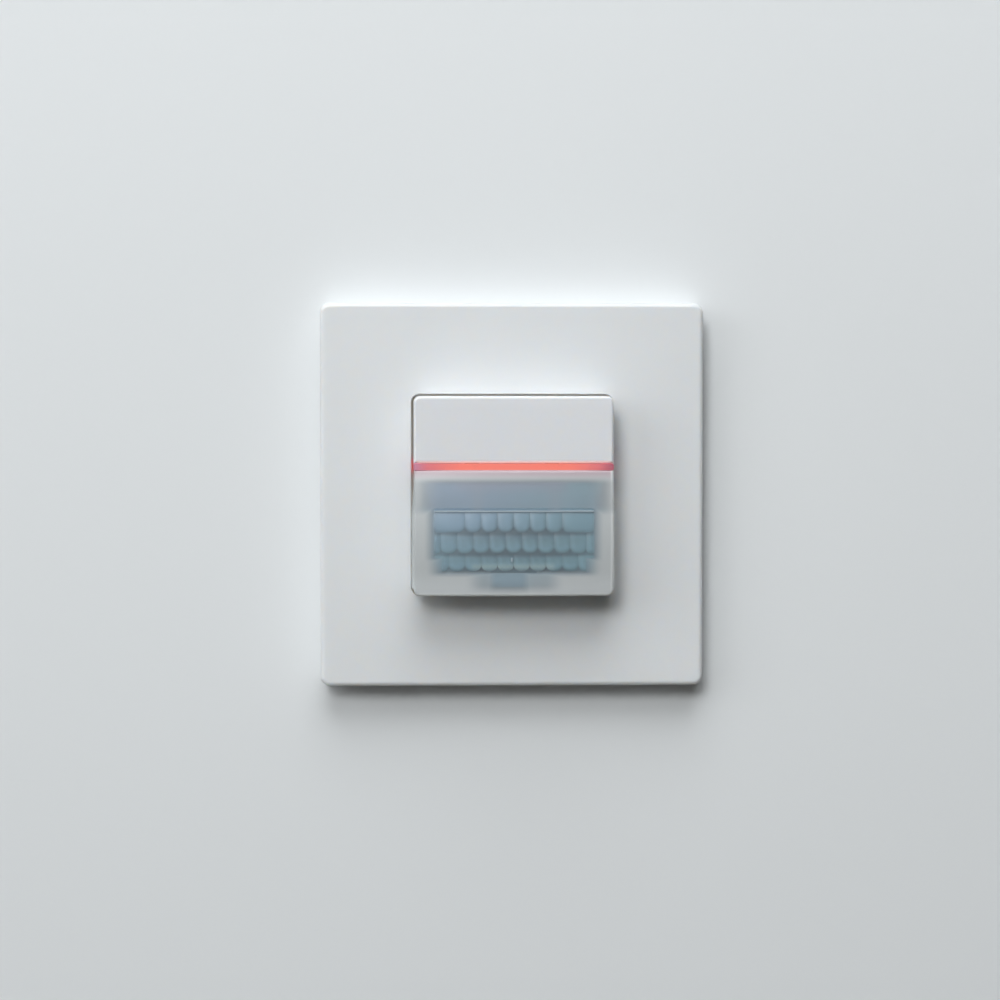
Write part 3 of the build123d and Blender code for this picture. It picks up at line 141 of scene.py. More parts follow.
world = bpy.data.worlds.new("pale_room")
bpy.context.scene.world = world
world.use_nodes = True
sky = world.node_tree
sky.nodes.clear()
sky_out = sky.nodes.new("ShaderNodeOutputWorld")
sky_light = sky.nodes.new("ShaderNodeBackground")
sky_light.inputs["Color"].default_value = SKY_COLOUR
sky_light.inputs["Strength"].default_value = SKY_STRENGTH
sky_seen = sky.nodes.new("ShaderNodeBackground")
sky_seen.inputs["Color"].default_value = SKY_SEEN
sky_path = sky.nodes.new("ShaderNodeLightPath")
sky_mix = sky.nodes.new("ShaderNodeMixShader")
sky.links.new(sky_path.outputs["Is Camera Ray"], sky_mix.inputs["Fac"])
sky.links.new(sky_light.outputs["Background"], sky_mix.inputs[1])
sky.links.new(sky_seen.outputs["Background"], sky_mix.inputs[2])
sky.links.new(sky_mix.outputs["Shader"], sky_out.inputs["Surface"])
bpy.context.scene.view_settings.view_transform = "Standard"

# %% [markdown]
# ## Helpers for materials
#
# A material is a small graph. These helpers keep each graph short: one makes a node and sets its
# plain values, one makes a group that several materials share, one starts a material.

# %% Node helpers
def new_node(tree, kind, **settings):
    """Adds a node and sets its properties, or its inputs by name where it has no such property."""
    node = tree.nodes.new(kind)
    for name, value in settings.items():
        if hasattr(node, name):
            setattr(node, name, value)
        else:
            node.inputs[name.replace("_", " ")].default_value = value
    return node


def new_group(name, inputs, outputs):
    """An empty node group with named sockets."""
    group = bpy.data.node_groups.new(name, "ShaderNodeTree")
    for label, kind, value in inputs:
        socket = group.interface.new_socket(label, in_out="INPUT", socket_type=kind)
        socket.default_value = value
    for label, kind in outputs:
        group.interface.new_socket(label, in_out="OUTPUT", socket_type=kind)
    entry = group.nodes.new("NodeGroupInput")
    leave = group.nodes.new("NodeGroupOutput")
    return group, entry, leave


def place_group(tree, group, **values):
    """Puts a group into a material and sets its inputs."""
    node = tree.nodes.new("ShaderNodeGroup")
    node.node_tree = group
    for name, value in values.items():
        node.inputs[name.replace("_", " ")].default_value = value
    return node


FLOAT = "NodeSocketFloat"
COLOUR = "NodeSocketColor"

# %% [markdown]
# ## Effect: moulded skin
#
# Moulded plastic is never one flat colour. The tool leaves a fine even grain that breaks up the
# shine, and the pigment clouds very slightly over a few centimetres. One group gives both: a
# tone for the colour, a value for the roughness and a height for the bump.

# %% Group: moulded skin
moulded_skin, entry, leave = new_group(
    "moulded_skin",
    [
        ("Colour", COLOUR, (0.8, 0.8, 0.8, 1)),
        ("Cloud", FLOAT, 0.03),
        ("Grain Scale", FLOAT, 5000.0),
        ("Roughness", FLOAT, 0.45),
        ("Roughness Spread", FLOAT, 0.06),
    ],
    [("Colour", COLOUR), ("Roughness", FLOAT), ("Height", FLOAT)],
)
links = moulded_skin.links
place = new_node(moulded_skin, "ShaderNodeTexCoord")
cloud = new_node(moulded_skin, "ShaderNodeTexNoise", Scale=55.0, Detail=3.0, Roughness=0.5)
grain = new_node(moulded_skin, "ShaderNodeTexNoise", Detail=2.0, Roughness=0.6)
smear = new_node(moulded_skin, "ShaderNodeTexNoise", Scale=240.0, Detail=4.0, Roughness=0.55)
for texture in (cloud, grain, smear):
    links.new(place.outputs["Object"], texture.inputs["Vector"])
links.new(entry.outputs["Grain Scale"], grain.inputs["Scale"])
centred = new_node(moulded_skin, "ShaderNodeMath", operation="SUBTRACT")
centred.inputs[1].default_value = 0.5
links.new(cloud.outputs["Fac"], centred.inputs[0])
shift = new_node(moulded_skin, "ShaderNodeMath", operation="MULTIPLY_ADD")
shift.inputs[2].default_value = 1.0
links.new(centred.outputs["Value"], shift.inputs[0])
links.new(entry.outputs["Cloud"], shift.inputs[1])
tone = new_node(moulded_skin, "ShaderNodeMix", data_type="RGBA", blend_type="MULTIPLY")
tone.inputs["Factor"].default_value = 1.0
links.new(entry.outputs["Colour"], tone.inputs["A"])
links.new(shift.outputs["Value"], tone.inputs["B"])
links.new(tone.outputs["Result"], leave.inputs["Colour"])
uneven = new_node(moulded_skin, "ShaderNodeMath", operation="SUBTRACT")
uneven.inputs[1].default_value = 0.5
links.new(smear.outputs["Fac"], uneven.inputs[0])
rough = new_node(moulded_skin, "ShaderNodeMath", operation="MULTIPLY_ADD")
links.new(uneven.outputs["Value"], rough.inputs[0])
links.new(entry.outputs["Roughness Spread"], rough.inputs[1])
links.new(entry.outputs["Roughness"], rough.inputs[2])
links.new(rough.outputs["Value"], leave.inputs["Roughness"])
links.new(grain.outputs["Fac"], leave.inputs["Height"])
print("group", moulded_skin.name, "with", len(moulded_skin.nodes), "nodes")

# %% [markdown]
# ## Effect: drawn metal
#
# Rolled sheet, drawn wire and turned screws carry fine parallel lines. A noise that is stretched
# along one direction draws them, and spangles of the zinc come from a coarse cell pattern.

# %% Group: drawn metal
drawn_metal, entry, leave = new_group(
    "drawn_metal",
    [
        ("Colour", COLOUR, (0.6, 0.6, 0.6, 1)),
        ("Line Scale", FLOAT, 900.0),
        ("Spangle", FLOAT, 0.1),
        ("Roughness", FLOAT, 0.35),
    ],
    [("Colour", COLOUR), ("Roughness", FLOAT), ("Height", FLOAT)],
)
links = drawn_metal.links
place = new_node(drawn_metal, "ShaderNodeTexCoord")
stretch = new_node(drawn_metal, "ShaderNodeMapping")
stretch.inputs["Scale"].default_value = (0.06, 1.0, 1.0)
lines = new_node(drawn_metal, "ShaderNodeTexNoise", Detail=3.0, Roughness=0.6)
cells = new_node(drawn_metal, "ShaderNodeTexVoronoi", Scale=260.0)
links.new(place.outputs["Object"], stretch.inputs["Vector"])
links.new(stretch.outputs["Vector"], lines.inputs["Vector"])
links.new(place.outputs["Object"], cells.inputs["Vector"])
links.new(entry.outputs["Line Scale"], lines.inputs["Scale"])
shine = new_node(drawn_metal, "ShaderNodeMath", operation="MULTIPLY_ADD")
shine.inputs[1].default_value = 0.18
links.new(lines.outputs["Fac"], shine.inputs[0])
links.new(entry.outputs["Roughness"], shine.inputs[2])
links.new(shine.outputs["Value"], leave.inputs["Roughness"])
grey = new_node(drawn_metal, "ShaderNodeSeparateColor")
links.new(cells.outputs["Color"], grey.inputs["Color"])
spread = new_node(drawn_metal, "ShaderNodeMath", operation="MULTIPLY")
links.new(grey.outputs["Red"], spread.inputs[0])
links.new(entry.outputs["Spangle"], spread.inputs[1])
darker = new_node(drawn_metal, "ShaderNodeMath", operation="SUBTRACT")
darker.inputs[0].default_value = 1.0
links.new(spread.outputs["Value"], darker.inputs[1])
tone = new_node(drawn_metal, "ShaderNodeMix", data_type="RGBA", blend_type="MULTIPLY")
tone.inputs["Factor"].default_value = 1.0
links.new(entry.outputs["Colour"], tone.inputs["A"])
links.new(darker.outputs["Value"], tone.inputs["B"])
links.new(tone.outputs["Result"], leave.inputs["Colour"])
links.new(lines.outputs["Fac"], leave.inputs["Height"])
print("group", drawn_metal.name, "with", len(drawn_metal.nodes), "nodes")

# %% [markdown]
# ## Effect: soft window
#
# Several finishes change over a stretch of the piece: the glow fades to the ends of the bar, the
# milky cover is thicker at its rim, the lens is blue inside and pale outside. One group gives a
# soft-edged window in X and Z: 1 inside it, 0 outside, with a blurred edge of a given width.

# %% Group: soft window
soft_window, entry, leave = new_group(
    "soft_window",
    [
        ("Middle X", FLOAT, 0.0),
        ("Half X", FLOAT, 0.01),
        ("Middle Z", FLOAT, 0.0),
        ("Half Z", FLOAT, 0.01),
        ("Blur X", FLOAT, 0.001),
        ("Blur Z", FLOAT, 0.001),
    ],
    [("Mask", FLOAT)],
)
links = soft_window.links
place = new_node(soft_window, "ShaderNodeTexCoord")
axes = new_node(soft_window, "ShaderNodeSeparateXYZ")
links.new(place.outputs["Object"], axes.inputs["Vector"])
sides = []
for axis in ("X", "Z"):
    offset = new_node(soft_window, "ShaderNodeMath", operation="SUBTRACT")
    links.new(axes.outputs[axis], offset.inputs[0])
    links.new(entry.outputs[f"Middle {axis}"], offset.inputs[1])
    reach = new_node(soft_window, "ShaderNodeMath", operation="ABSOLUTE")
    links.new(offset.outputs["Value"], reach.inputs[0])
    room = new_node(soft_window, "ShaderNodeMath", operation="SUBTRACT")
    links.new(entry.outputs[f"Half {axis}"], room.inputs[0])
    links.new(reach.outputs["Value"], room.inputs[1])
    share = new_node(soft_window, "ShaderNodeMath", operation="DIVIDE")
    links.new(room.outputs["Value"], share.inputs[0])
    links.new(entry.outputs[f"Blur {axis}"], share.inputs[1])
    fade = new_node(soft_window, "ShaderNodeMapRange", interpolation_type="SMOOTHSTEP")
    fade.inputs["From Min"].default_value = -0.5
    fade.inputs["From Max"].default_value = 0.5
    links.new(share.outputs["Value"], fade.inputs["Value"])
    sides.append(fade)
both = new_node(soft_window, "ShaderNodeMath", operation="MULTIPLY")
links.new(sides[0].outputs["Result"], both.inputs[0])
links.new(sides[1].outputs["Result"], both.inputs[1])
links.new(both.outputs["Value"], leave.inputs["Mask"])
print("group", soft_window.name, "with", len(soft_window.nodes), "nodes")

FAR = 60.0


def window(tree, low_x, high_x, low_z, high_z, blur, blur_z=None):
    """A soft window between millimetre limits, as a mask; a limit of FAR leaves a side open."""
    node = place_group(
        tree, soft_window,
        Middle_X=(low_x + high_x) / 2 * MM, Half_X=(high_x - low_x) / 2 * MM,
        Middle_Z=(low_z + high_z) / 2 * MM, Half_Z=(high_z - low_z) / 2 * MM,
        Blur_X=blur * MM, Blur_Z=(blur_z or blur) * MM,
    )
    return node.outputs["Mask"]


def blend(tree, mask, first, second, factor=1.0):
    """Mixes from a first colour to a second by a mask; either may be a colour or an output."""
    if factor != 1.0:
        weaker = new_node(tree, "ShaderNodeMath", operation="MULTIPLY")
        weaker.inputs[1].default_value = factor
        tree.links.new(mask, weaker.inputs[0])
        mask = weaker.outputs["Value"]
    node = new_node(tree, "ShaderNodeMix", data_type="RGBA")
    tree.links.new(mask, node.inputs["Factor"])
    for label, value in (("A", first), ("B", second)):
        if isinstance(value, tuple):
            node.inputs[label].default_value = (*value, 1)
        else:
            tree.links.new(value, node.inputs[label])
    return node.outputs["Result"]


# %% [markdown]
# ## Materials from the two groups
#
# A plastic takes the moulded skin, a metal the drawn lines. The group feeds colour, roughness
# and bump. Every value that is the same all over stays on the shader's own socket.

# %% Plastic and metal
def start_material(name):
    """A material with one Principled shader and its output."""
    material = bpy.data.materials.new(name)
    material.use_nodes = True
    tree = material.node_tree
    tree.nodes.clear()
    shader = tree.nodes.new("ShaderNodeBsdfPrincipled")
    output = tree.nodes.new("ShaderNodeOutputMaterial")
    tree.links.new(shader.outputs["BSDF"], output.inputs["Surface"])
    return material, tree, shader


def finish_from(tree, shader, effect, bump_depth):
    """Feeds the shader from an effect group: colour, roughness and a bump of a real depth."""
    tree.links.new(effect.outputs["Colour"], shader.inputs["Base Color"])
    tree.links.new(effect.outputs["Roughness"], shader.inputs["Roughness"])
    bump = new_node(tree, "ShaderNodeBump", Strength=1.0, Distance=bump_depth)
    tree.links.new(effect.outputs["Height"], bump.inputs["Height"])
    tree.links.new(bump.outputs["Normal"], shader.inputs["Normal"])


def plastic(name, colour, roughness=0.45, cloud=0.03, grain=5000.0, depth=0.000004, coat=0.0):
    """Moulded plastic: even grain, faint clouding, soft shine."""
    material, tree, shader = start_material(name)
    skin = place_group(
        tree, moulded_skin, Colour=(*colour, 1), Cloud=cloud, Grain_Scale=grain, Roughness=roughness
    )
    finish_from(tree, shader, skin, depth)
    shader.inputs["IOR"].default_value = 1.49
    shader.inputs["Coat Weight"].default_value = coat
    return material


def metal(name, colour, roughness=0.3, line_scale=900.0, spangle=0.1, depth=0.000003):
    """Metal with drawn lines and, where it is zinc plated, its spangles."""
    material, tree, shader = start_material(name)
    skin = place_group(
        tree, drawn_metal, Colour=(*colour, 1), Line_Scale=line_scale, Spangle=spangle,
        Roughness=roughness,
    )
    finish_from(tree, shader, skin, depth)
    shader.inputs["Metallic"].default_value = 1.0
    return material


# %% [markdown]
# ## Light in the gap
#
# White plastic of a millimetre or two passes some of the light that falls on it. So the narrow gap
# round the insert is brownish grey and not black, it is red where the bar ends, and the cap's edge
# above the bar blushes. Light that wanders through a wall takes a great many bounces, so here the
# walls of the gap give off a little light themselves, and the outer whites let it spread a little.

# %% Light in the gap
GAP_GLOW = (0.062, 0.056, 0.048)
GAP_RED = (0.20, 0.012, 0.014)
GAP_BEGINS = 0.2 * MM
GAP_FULL = 0.9 * MM
GAP_HALF = 24.0
GAP_BLUR = 0.5
BLUSH = (0.40, 0.22, 0.21)
BLUSH_HALF = 21.7
BLUSH_HEIGHT = 0.68


def light_gap(material, blush=False):
    """Lets a little light out of the walls of the insert's gap, and of the edge above the bar."""
    tree = material.node_tree
    shader = next(node for node in tree.nodes if node.type == "BSDF_PRINCIPLED")
    place = new_node(tree, "ShaderNodeTexCoord")
    axes = new_node(tree, "ShaderNodeSeparateXYZ")
    tree.links.new(place.outputs["Object"], axes.inputs["Vector"])
    depth = new_node(tree, "ShaderNodeMapRange", interpolation_type="SMOOTHSTEP")
    depth.inputs["From Min"].default_value = plate_low.y + GAP_BEGINS
    depth.inputs["From Max"].default_value = plate_low.y + GAP_FULL
    tree.links.new(axes.outputs["Y"], depth.inputs["Value"])
    inside = window(tree, -GAP_HALF, GAP_HALF, -GAP_HALF, GAP_HALF, GAP_BLUR)
    both = new_node(tree, "ShaderNodeMath", operation="MULTIPLY")
    tree.links.new(depth.outputs["Result"], both.inputs[0])
    tree.links.new(inside, both.inputs[1])
    bar_foot, bar_top = bar_low.z / MM, bar_high.z / MM
    red = window(tree, -30.0, 30.0, bar_foot - 0.7, bar_top + 0.9, 1.2)
    colour = blend(tree, red, GAP_GLOW, GAP_RED)
    colour = blend(tree, both.outputs["Value"], (0.0, 0.0, 0.0), colour)
    if blush:
        edge = window(
            tree, -BLUSH_HALF, BLUSH_HALF, bar_top - 1, bar_top + BLUSH_HEIGHT, 1.5, 0.3
        )
        colour = blend(tree, edge, colour, BLUSH)
    tree.links.new(colour, shader.inputs["Emission Color"])
    shader.inputs["Emission Strength"].default_value = 1.0


def light_spread(material, depth):
    """Lets light spread inside a white plastic, over a depth in metres."""
    shader = next(node for node in material.node_tree.nodes if node.type == "BSDF_PRINCIPLED")
    shader.inputs["Subsurface Weight"].default_value = 0.8
    shader.inputs["Subsurface Radius"].default_value = (1.0, 0.9, 0.8)
    shader.inputs["Subsurface Scale"].default_value = depth


# %% [markdown]
# ## Finishes of the pieces
#
# The list pairs each finish with the pieces that have it. The frame and the cap are the same
# satin white; inside the head the mouldings are a warmer natural white; the boards are green
# laminate; the housing in the wall is dark grey with a coarser grain.

# %% Finishes by piece
SPREAD_DEPTH = 0.9 * MM
frame_white = plastic("frame_white", (0.775, 0.79, 0.80), roughness=0.34, cloud=0.03)
cap_white = plastic("cap_white", (0.785, 0.795, 0.815), roughness=0.34, cloud=0.03)
inner_white = plastic("inner_white", (0.72, 0.72, 0.70), roughness=0.5)
for white in (frame_white, inner_white):
    light_gap(white)
light_gap(cap_white, blush=True)
for white in (frame_white, cap_white):
    light_spread(white, SPREAD_DEPTH)
board_green = plastic("board_green", (0.03, 0.20, 0.08), roughness=0.3, cloud=0.2, coat=0.3)
plain_black = plastic("plain_black", (0.022, 0.022, 0.024), roughness=0.5, cloud=0.1)
housing_grey = plastic(
    "housing_grey", (0.045, 0.047, 0.05), roughness=0.55, cloud=0.12, grain=2600.0, depth=0.00002
)
terminal_white = plastic("terminal_white", (0.68, 0.68, 0.66), roughness=0.48)
key_orange = plastic("key_orange", (0.75, 0.17, 0.02), roughness=0.4, cloud=0.08)
dial_yellow = plastic("dial_yellow", (0.72, 0.50, 0.06), roughness=0.45, cloud=0.08)
varistor_blue = plastic("varistor_blue", (0.03, 0.09, 0.36), roughness=0.35, cloud=0.1)
sleeve_black = plastic("sleeve_black", (0.015, 0.025, 0.05), roughness=0.2, cloud=0.1, coat=0.5)
film_yellow = plastic("film_yellow", (0.66, 0.46, 0.04), roughness=0.3, cloud=0.08)
ferrite_grey = plastic("ferrite_grey", (0.035, 0.035, 0.04), roughness=0.6, cloud=0.2)
wire_lacquer = metal("wire_lacquer", (0.55, 0.18, 0.06), roughness=0.25, line_scale=4000.0)
chip_ceramic = plastic("chip_ceramic", (0.42, 0.31, 0.20), roughness=0.5, cloud=0.2)
clear_resin = plastic("clear_resin", (0.55, 0.60, 0.62), roughness=0.12, cloud=0.05, coat=0.6)
zinc_steel = metal("zinc_steel", (0.58, 0.60, 0.62), roughness=0.34, spangle=0.22)
bright_metal = metal("bright_metal", (0.66, 0.67, 0.68), roughness=0.16, spangle=0.03)
spring_steel = metal("spring_steel", (0.52, 0.53, 0.55), roughness=0.22, line_scale=2500.0)
copper_sheet = metal("copper_sheet", (0.80, 0.42, 0.24), roughness=0.28, spangle=0.08)

FINISHES = [
    (frame_white, ["cover_frame"]),
    (cap_white, ["button_cap"]),
    (inner_white, ["sensor_base", "carrier", "time_trimmer", "brightness_trimmer",
                   "range_trimmer"]),
    (board_green, ["sensor_board", "power_board"]),
    (plain_black, ["controller_chip", "push_switch_body", "push_switch_stem", "relay", "fuse",
                   "rectifier", "regulator_chip", "header_strip", "board_socket"]),
    (housing_grey, ["rear_housing", "housing_lid"]),
    (terminal_white, ["terminal_block"]),
    (key_orange, [f"terminal_release_{number}" for number in range(1, 5)]),
    (dial_yellow, ["time_dial", "brightness_dial", "range_dial"]),
    (varistor_blue, ["varistor"]),
    (sleeve_black, ["electrolytic_capacitor"]),
    (film_yellow, ["film_capacitor"]),
    (ferrite_grey, ["choke_core"]),
    (wire_lacquer, ["choke_winding"]),
    (chip_ceramic, ["board_capacitors"]),
    (clear_resin, ["light_sensor"]),
    (zinc_steel, ["mounting_plate", "flange_rivets", "lid_screws", "board_screws"]),
    (bright_metal, ["pir_can", "pir_pins", "header_pins"]),
    (spring_steel, ["button_springs", "terminal_springs"]),
    (copper_sheet, ["terminal_cages"]),
]


def give_finish(piece, material):
    """Makes a material the only one of a piece."""
    piece.data.materials.clear()
    piece.data.materials.append(material)


for material, names in FINISHES:
    for name in names:
        give_finish(nodes[name], material)
print("finishes", len(FINISHES), "pieces", sum(len(names) for _, names in FINISHES))

# %% [markdown]
# ## The light bar
#
# The bar is clear plastic that carries the light of two small lamps. It glows strongest in the
# middle. Towards its ends it fades to violet and pink, where more of the room shows in it: that
# violet and pink, lighter at the left end than at the right, is painted into the glow.

# %% Lit bar
# The end colours are painted light: the room that shows in the bar, lighter at its left end.
BAR_CORE = (0.93, 0.175, 0.07)
BAR_PINK_ROOM_LIGHT = (0.58, 0.11, 0.135)
BAR_LEFT_ROOM_LIGHT = (0.47, 0.21, 0.33)
BAR_RIGHT_ROOM_LIGHT = (0.30, 0.045, 0.08)
bar_glow, tree, shader = start_material("bar_glow")
bar_zone = (bar_low.z / MM - 1, bar_high.z / MM + 1)
core = window(tree, -16.5, 17.0, *bar_zone, 12.0)
pink = window(tree, -21.0, 20.6, *bar_zone, 4.0)
leftish = window(tree, -FAR, 0, *bar_zone, 8.0)
streaks = place_group(tree, drawn_metal, Colour=(1, 1, 1, 1), Line_Scale=700.0, Spangle=0.12)
ends = blend(tree, pink, blend(tree, leftish, BAR_RIGHT_ROOM_LIGHT, BAR_LEFT_ROOM_LIGHT), BAR_PINK_ROOM_LIGHT)
glow = blend(tree, core, ends, BAR_CORE)
lined = new_node(tree, "ShaderNodeMix", data_type="RGBA", blend_type="MULTIPLY")
lined.inputs["Factor"].default_value = 0.5
tree.links.new(glow, lined.inputs["A"])
tree.links.new(streaks.outputs["Colour"], lined.inputs["B"])
tree.links.new(lined.outputs["Result"], shader.inputs["Emission Color"])
shader.inputs["Base Color"].default_value = (0.14, 0.10, 0.11, 1)
shader.inputs["Emission Strength"].default_value = 1.0
shader.inputs["Roughness"].default_value = 0.22
give_finish(nodes["light_guide_bar"], bar_glow)
give_finish(nodes["status_leds"], bar_glow)

# %% [markdown]
# ## The dark filter of the heat sensor
#
# The filter is a thin dark pane. It is almost black, with a smooth shine.

# %% Filter pane
filter_pane = plastic("filter_pane", (0.02, 0.016, 0.02), roughness=0.08, cloud=0.3, coat=0.8)
give_finish(nodes["pir_window"], filter_pane)

# %% [markdown]
# ## The milky cover
#
# The cover is thin milky plastic. Before the lens, which stands close behind it, the eye looks
# through; beside and below the lens it only sees milk, the denser the further it is to whatever
# lies behind. Its walls are seen edge on. So the material is nearly opaque along the rim, clears
# in soft-edged zones before the panel, the rows and the lowest lens, and just below the bar has
# some of the bar's coral light painted into its colour. Where zones overlap, the clearest of them
# counts. The wall has two surfaces, and only the one that faces the eye counts, so that the milk
# isn't doubled. Light that travels inside the wall leaves it at the lower and right edges: these
# are painted much paler, and the lower part of the cover a little paler, than their shade would
# make them.

# %% Milky cover
COVER_WHITE = (0.515, 0.54, 0.545)
# Painted light: the foot is paler, as light that travels inside the wall leaves it there.
COVER_FOOT_LIGHT = (0.60, 0.63, 0.64)
COVER_BLUE = (0.47, 0.56, 0.63)
COVER_HAZE = (0.42, 0.475, 0.525)
# Painted light: the lower and right edges, paler still.
COVER_EDGE_LIGHT = (0.80, 0.83, 0.83)
# Painted light: the bar's coral light on the cover just below it.
COVER_BAR_GLOW = (0.49, 0.34, 0.39)
COVER_CLEAR_ALPHA = 0.28
COVER_DENSE_ALPHA = 0.998
# Each zone: its left, right, foot and top, its blur across and upright, all in millimetres, and
# how clear it is.
CLEAR_ZONES = [
    (-18.8, 18.8, -14.4, -2.2, 3.2, 1.8, 1.0),
    (-17.6, 17.6, -17.6, -2.2, 5.0, 1.5, 1.0),
    (-20.8, 20.8, -3.6, 3.5, 11.0, 1.8, 0.80),
    (-5.8, 3.6, -21.1, -16.0, 4.0, 2.4, 0.80),
    (-8.8, 9.2, -21.0, -16.0, 5.0, 2.4, 0.45),
]
milky, tree, shader = start_material("milky_cover")
skin = place_group(
    tree, moulded_skin, Cloud=0.03, Grain_Scale=4000.0, Roughness=0.34, Roughness_Spread=0.05,
)
finish_from(tree, shader, skin, 0.000003)
cover_top = cover_high.z / MM
# Painted coral light from the bar, and painted paler light at the foot.
near_bar = window(tree, -24, 24, cover_top - 1.4, cover_top + 2, 2.2)
tint = blend(tree, near_bar, COVER_WHITE, COVER_BAR_GLOW, 0.7)
near_foot = window(tree, -24, 24, -30, cover_low.z / MM + 4, 5)
tint = blend(tree, near_foot, tint, COVER_FOOT_LIGHT)
clearest = None
for *limits, share in CLEAR_ZONES:
    weaker = new_node(tree, "ShaderNodeMath", operation="MULTIPLY")
    weaker.inputs[1].default_value = share
    tree.links.new(window(tree, *limits), weaker.inputs[0])
    zone = weaker.outputs["Value"]
    if clearest:
        larger = new_node(tree, "ShaderNodeMath", operation="MAXIMUM")
        tree.links.new(clearest, larger.inputs[0])
        tree.links.new(zone, larger.inputs[1])
        zone = larger.outputs["Value"]
    clearest = zone
# Painted light at the lower and right edges, where light leaves the wall.
within = window(tree, -FAR, 21.9, cover_low.z / MM + 0.55, FAR, 0.7)
tint = blend(tree, within, COVER_EDGE_LIGHT, tint)
over_rows = window(tree, -FAR, FAR, -FAR, -2.6, 3.0, 1.5)
blue = blend(tree, over_rows, COVER_HAZE, COVER_BLUE)
tree.links.new(blend(tree, clearest, tint, blue), skin.inputs["Colour"])
alpha = new_node(tree, "ShaderNodeMapRange")
alpha.inputs["To Min"].default_value = COVER_DENSE_ALPHA
alpha.inputs["To Max"].default_value = COVER_CLEAR_ALPHA
tree.links.new(clearest, alpha.inputs["Value"])
side = new_node(tree, "ShaderNodeNewGeometry")
outside = new_node(tree, "ShaderNodeMath", operation="SUBTRACT")
outside.inputs[0].default_value = 1.0
tree.links.new(side.outputs["Backfacing"], outside.inputs[1])
once = new_node(tree, "ShaderNodeMath", operation="MULTIPLY")
tree.links.new(alpha.outputs["Result"], once.inputs[0])
tree.links.new(outside.outputs["Value"], once.inputs[1])
tree.links.new(once.outputs["Value"], shader.inputs["Alpha"])
give_finish(nodes["lens_cover"], milky)
print("clear zones in the cover", len(CLEAR_ZONES))

# %% [markdown]
# ## The crown that the lens follows
#
# Cover and lens are slices of one barrel. Its axis runs left to right behind the wall, and its
# rim is itself a slow curve across the head. The new pieces are made flat, which is easy, and
# then each of their points moves back by what the barrel falls away at that place.

# %% Barrel
CROWN_UPRIGHT = 75 * MM
CROWN_ACROSS = 280 * MM
crown_level = -cover_low.y
axis_y = CROWN_UPRIGHT - crown_level
crown_z = (cover_low.z + cover_high.z) / 2


def crown_y(level, x, z):
    """Y of the barrel whose front just reaches a level."""
    fall = CROWN_ACROSS - math.sqrt(CROWN_ACROSS**2 - x**2)
    reach = axis_y + level - fall
    return axis_y - math.sqrt(reach**2 - (z - crown_z) ** 2)


def follow_crown(piece, level):
    """Moves every point of a flat piece back onto the barrel."""
    for point in piece.data.vertices:
        point.co.y += crown_y(level, point.co.x, point.co.z) + level


foot_fall = crown_y(crown_level, 0, cover_low.z) - cover_low.y
print("crown falls in mm at the foot", round(foot_fall / MM, 2))

# %% [markdown]
# ## Helpers for new pieces
#
# New pieces start as a block between two corners. Its faces or edges are chosen by their place,
# and then inset, bevelled or deleted as by hand.

# %% Block and choice
def add_block(name, low, high):
    """A block between two corners, its place held in its mesh."""
    deselect_all()
    low, high = Vector(low), Vector(high)
    bpy.ops.mesh.primitive_cube_add(size=1, location=(low + high) / 2, scale=high - low)
    piece = bpy.context.object
    piece.name = name
    bpy.ops.object.transform_apply(location=True, rotation=False, scale=True)
    return piece


def choose(piece, kind, test):
    """In edit mode, selects the vertices, edges or faces of a piece that pass a test."""
    bpy.ops.mesh.select_mode(type=kind)
    bpy.ops.mesh.select_all(action="DESELECT")
    shape = bmesh.from_edit_mesh(piece.data)
    parts = {"VERT": shape.verts, "EDGE": shape.edges, "FACE": shape.faces}[kind]
    for part in parts:
        if test(part):
            part.select_set(True)
    bmesh.update_edit_mesh(piece.data)


def finish_piece(piece, material, node=None):
    """Smooth shading, finish and body of a new piece, and hides the node that it stands in for."""
    deselect_all()
    piece.select_set(True)
    bpy.context.view_layer.objects.active = piece
    bpy.ops.object.shade_smooth_by_angle(angle=math.radians(40))
    give_finish(piece, material)
    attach(piece, "switch_body")
    if node:
        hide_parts(node)


# %% [markdown]
# ## Finish of the lens
#
# Heat passes the thin lens, light is scattered in it, and it looks blue-grey before the dark
# sensor. Around the rows the moulding is thick and pale. The teeth are painted darkest where their
# rims turn away, most of all at their scalloped feet: that painted shade is stored on the points of
# the mesh when the teeth are made, and the material reads it. The shell behind the rows is painted
# near black in the middle and paler to the ends, as the shade seen in the gaps between the teeth.

# %% Lens colours
LENS_PALE = (0.40, 0.425, 0.43)
LENS_PAINTED_SHADE = (0.012, 0.045, 0.06)
TEETH_LEFT = (0.235, 0.355, 0.47)
TEETH_RIGHT = (0.175, 0.32, 0.385)
TEETH_FOOT = (0.195, 0.38, 0.43)
TEETH_LOWEST = (0.26, 0.40, 0.48)
TEETH_WARM = (0.38, 0.51, 0.49)
PANEL_LEFT = (0.19, 0.305, 0.455)
PANEL_RIGHT = (0.195, 0.37, 0.445)
PANEL_FOOT = (0.18, 0.30, 0.40)
PANEL_BAND = (0.31, 0.37, 0.45)
PANEL_LILAC = (0.29, 0.29, 0.40)
# Painted shade: the shell shows only in the gaps between the teeth, near black in the middle and
# paler to the ends.
SHELL_SHADE_MIDDLE = (0.01, 0.022, 0.028)
SHELL_SHADE_ENDS = (0.15, 0.24, 0.28)
SHELL_AT_PANEL = (0.17, 0.29, 0.38)
SHELL_AT_FOOT = (0.235, 0.36, 0.42)
TOP_SHADE_FROM = -0.95 * MM
TOP_SHADE_FULL = 0.05 * MM
TOP_SHADE_ENDS = 0.32
TOP_SHADE_MIDDLE = 0.6


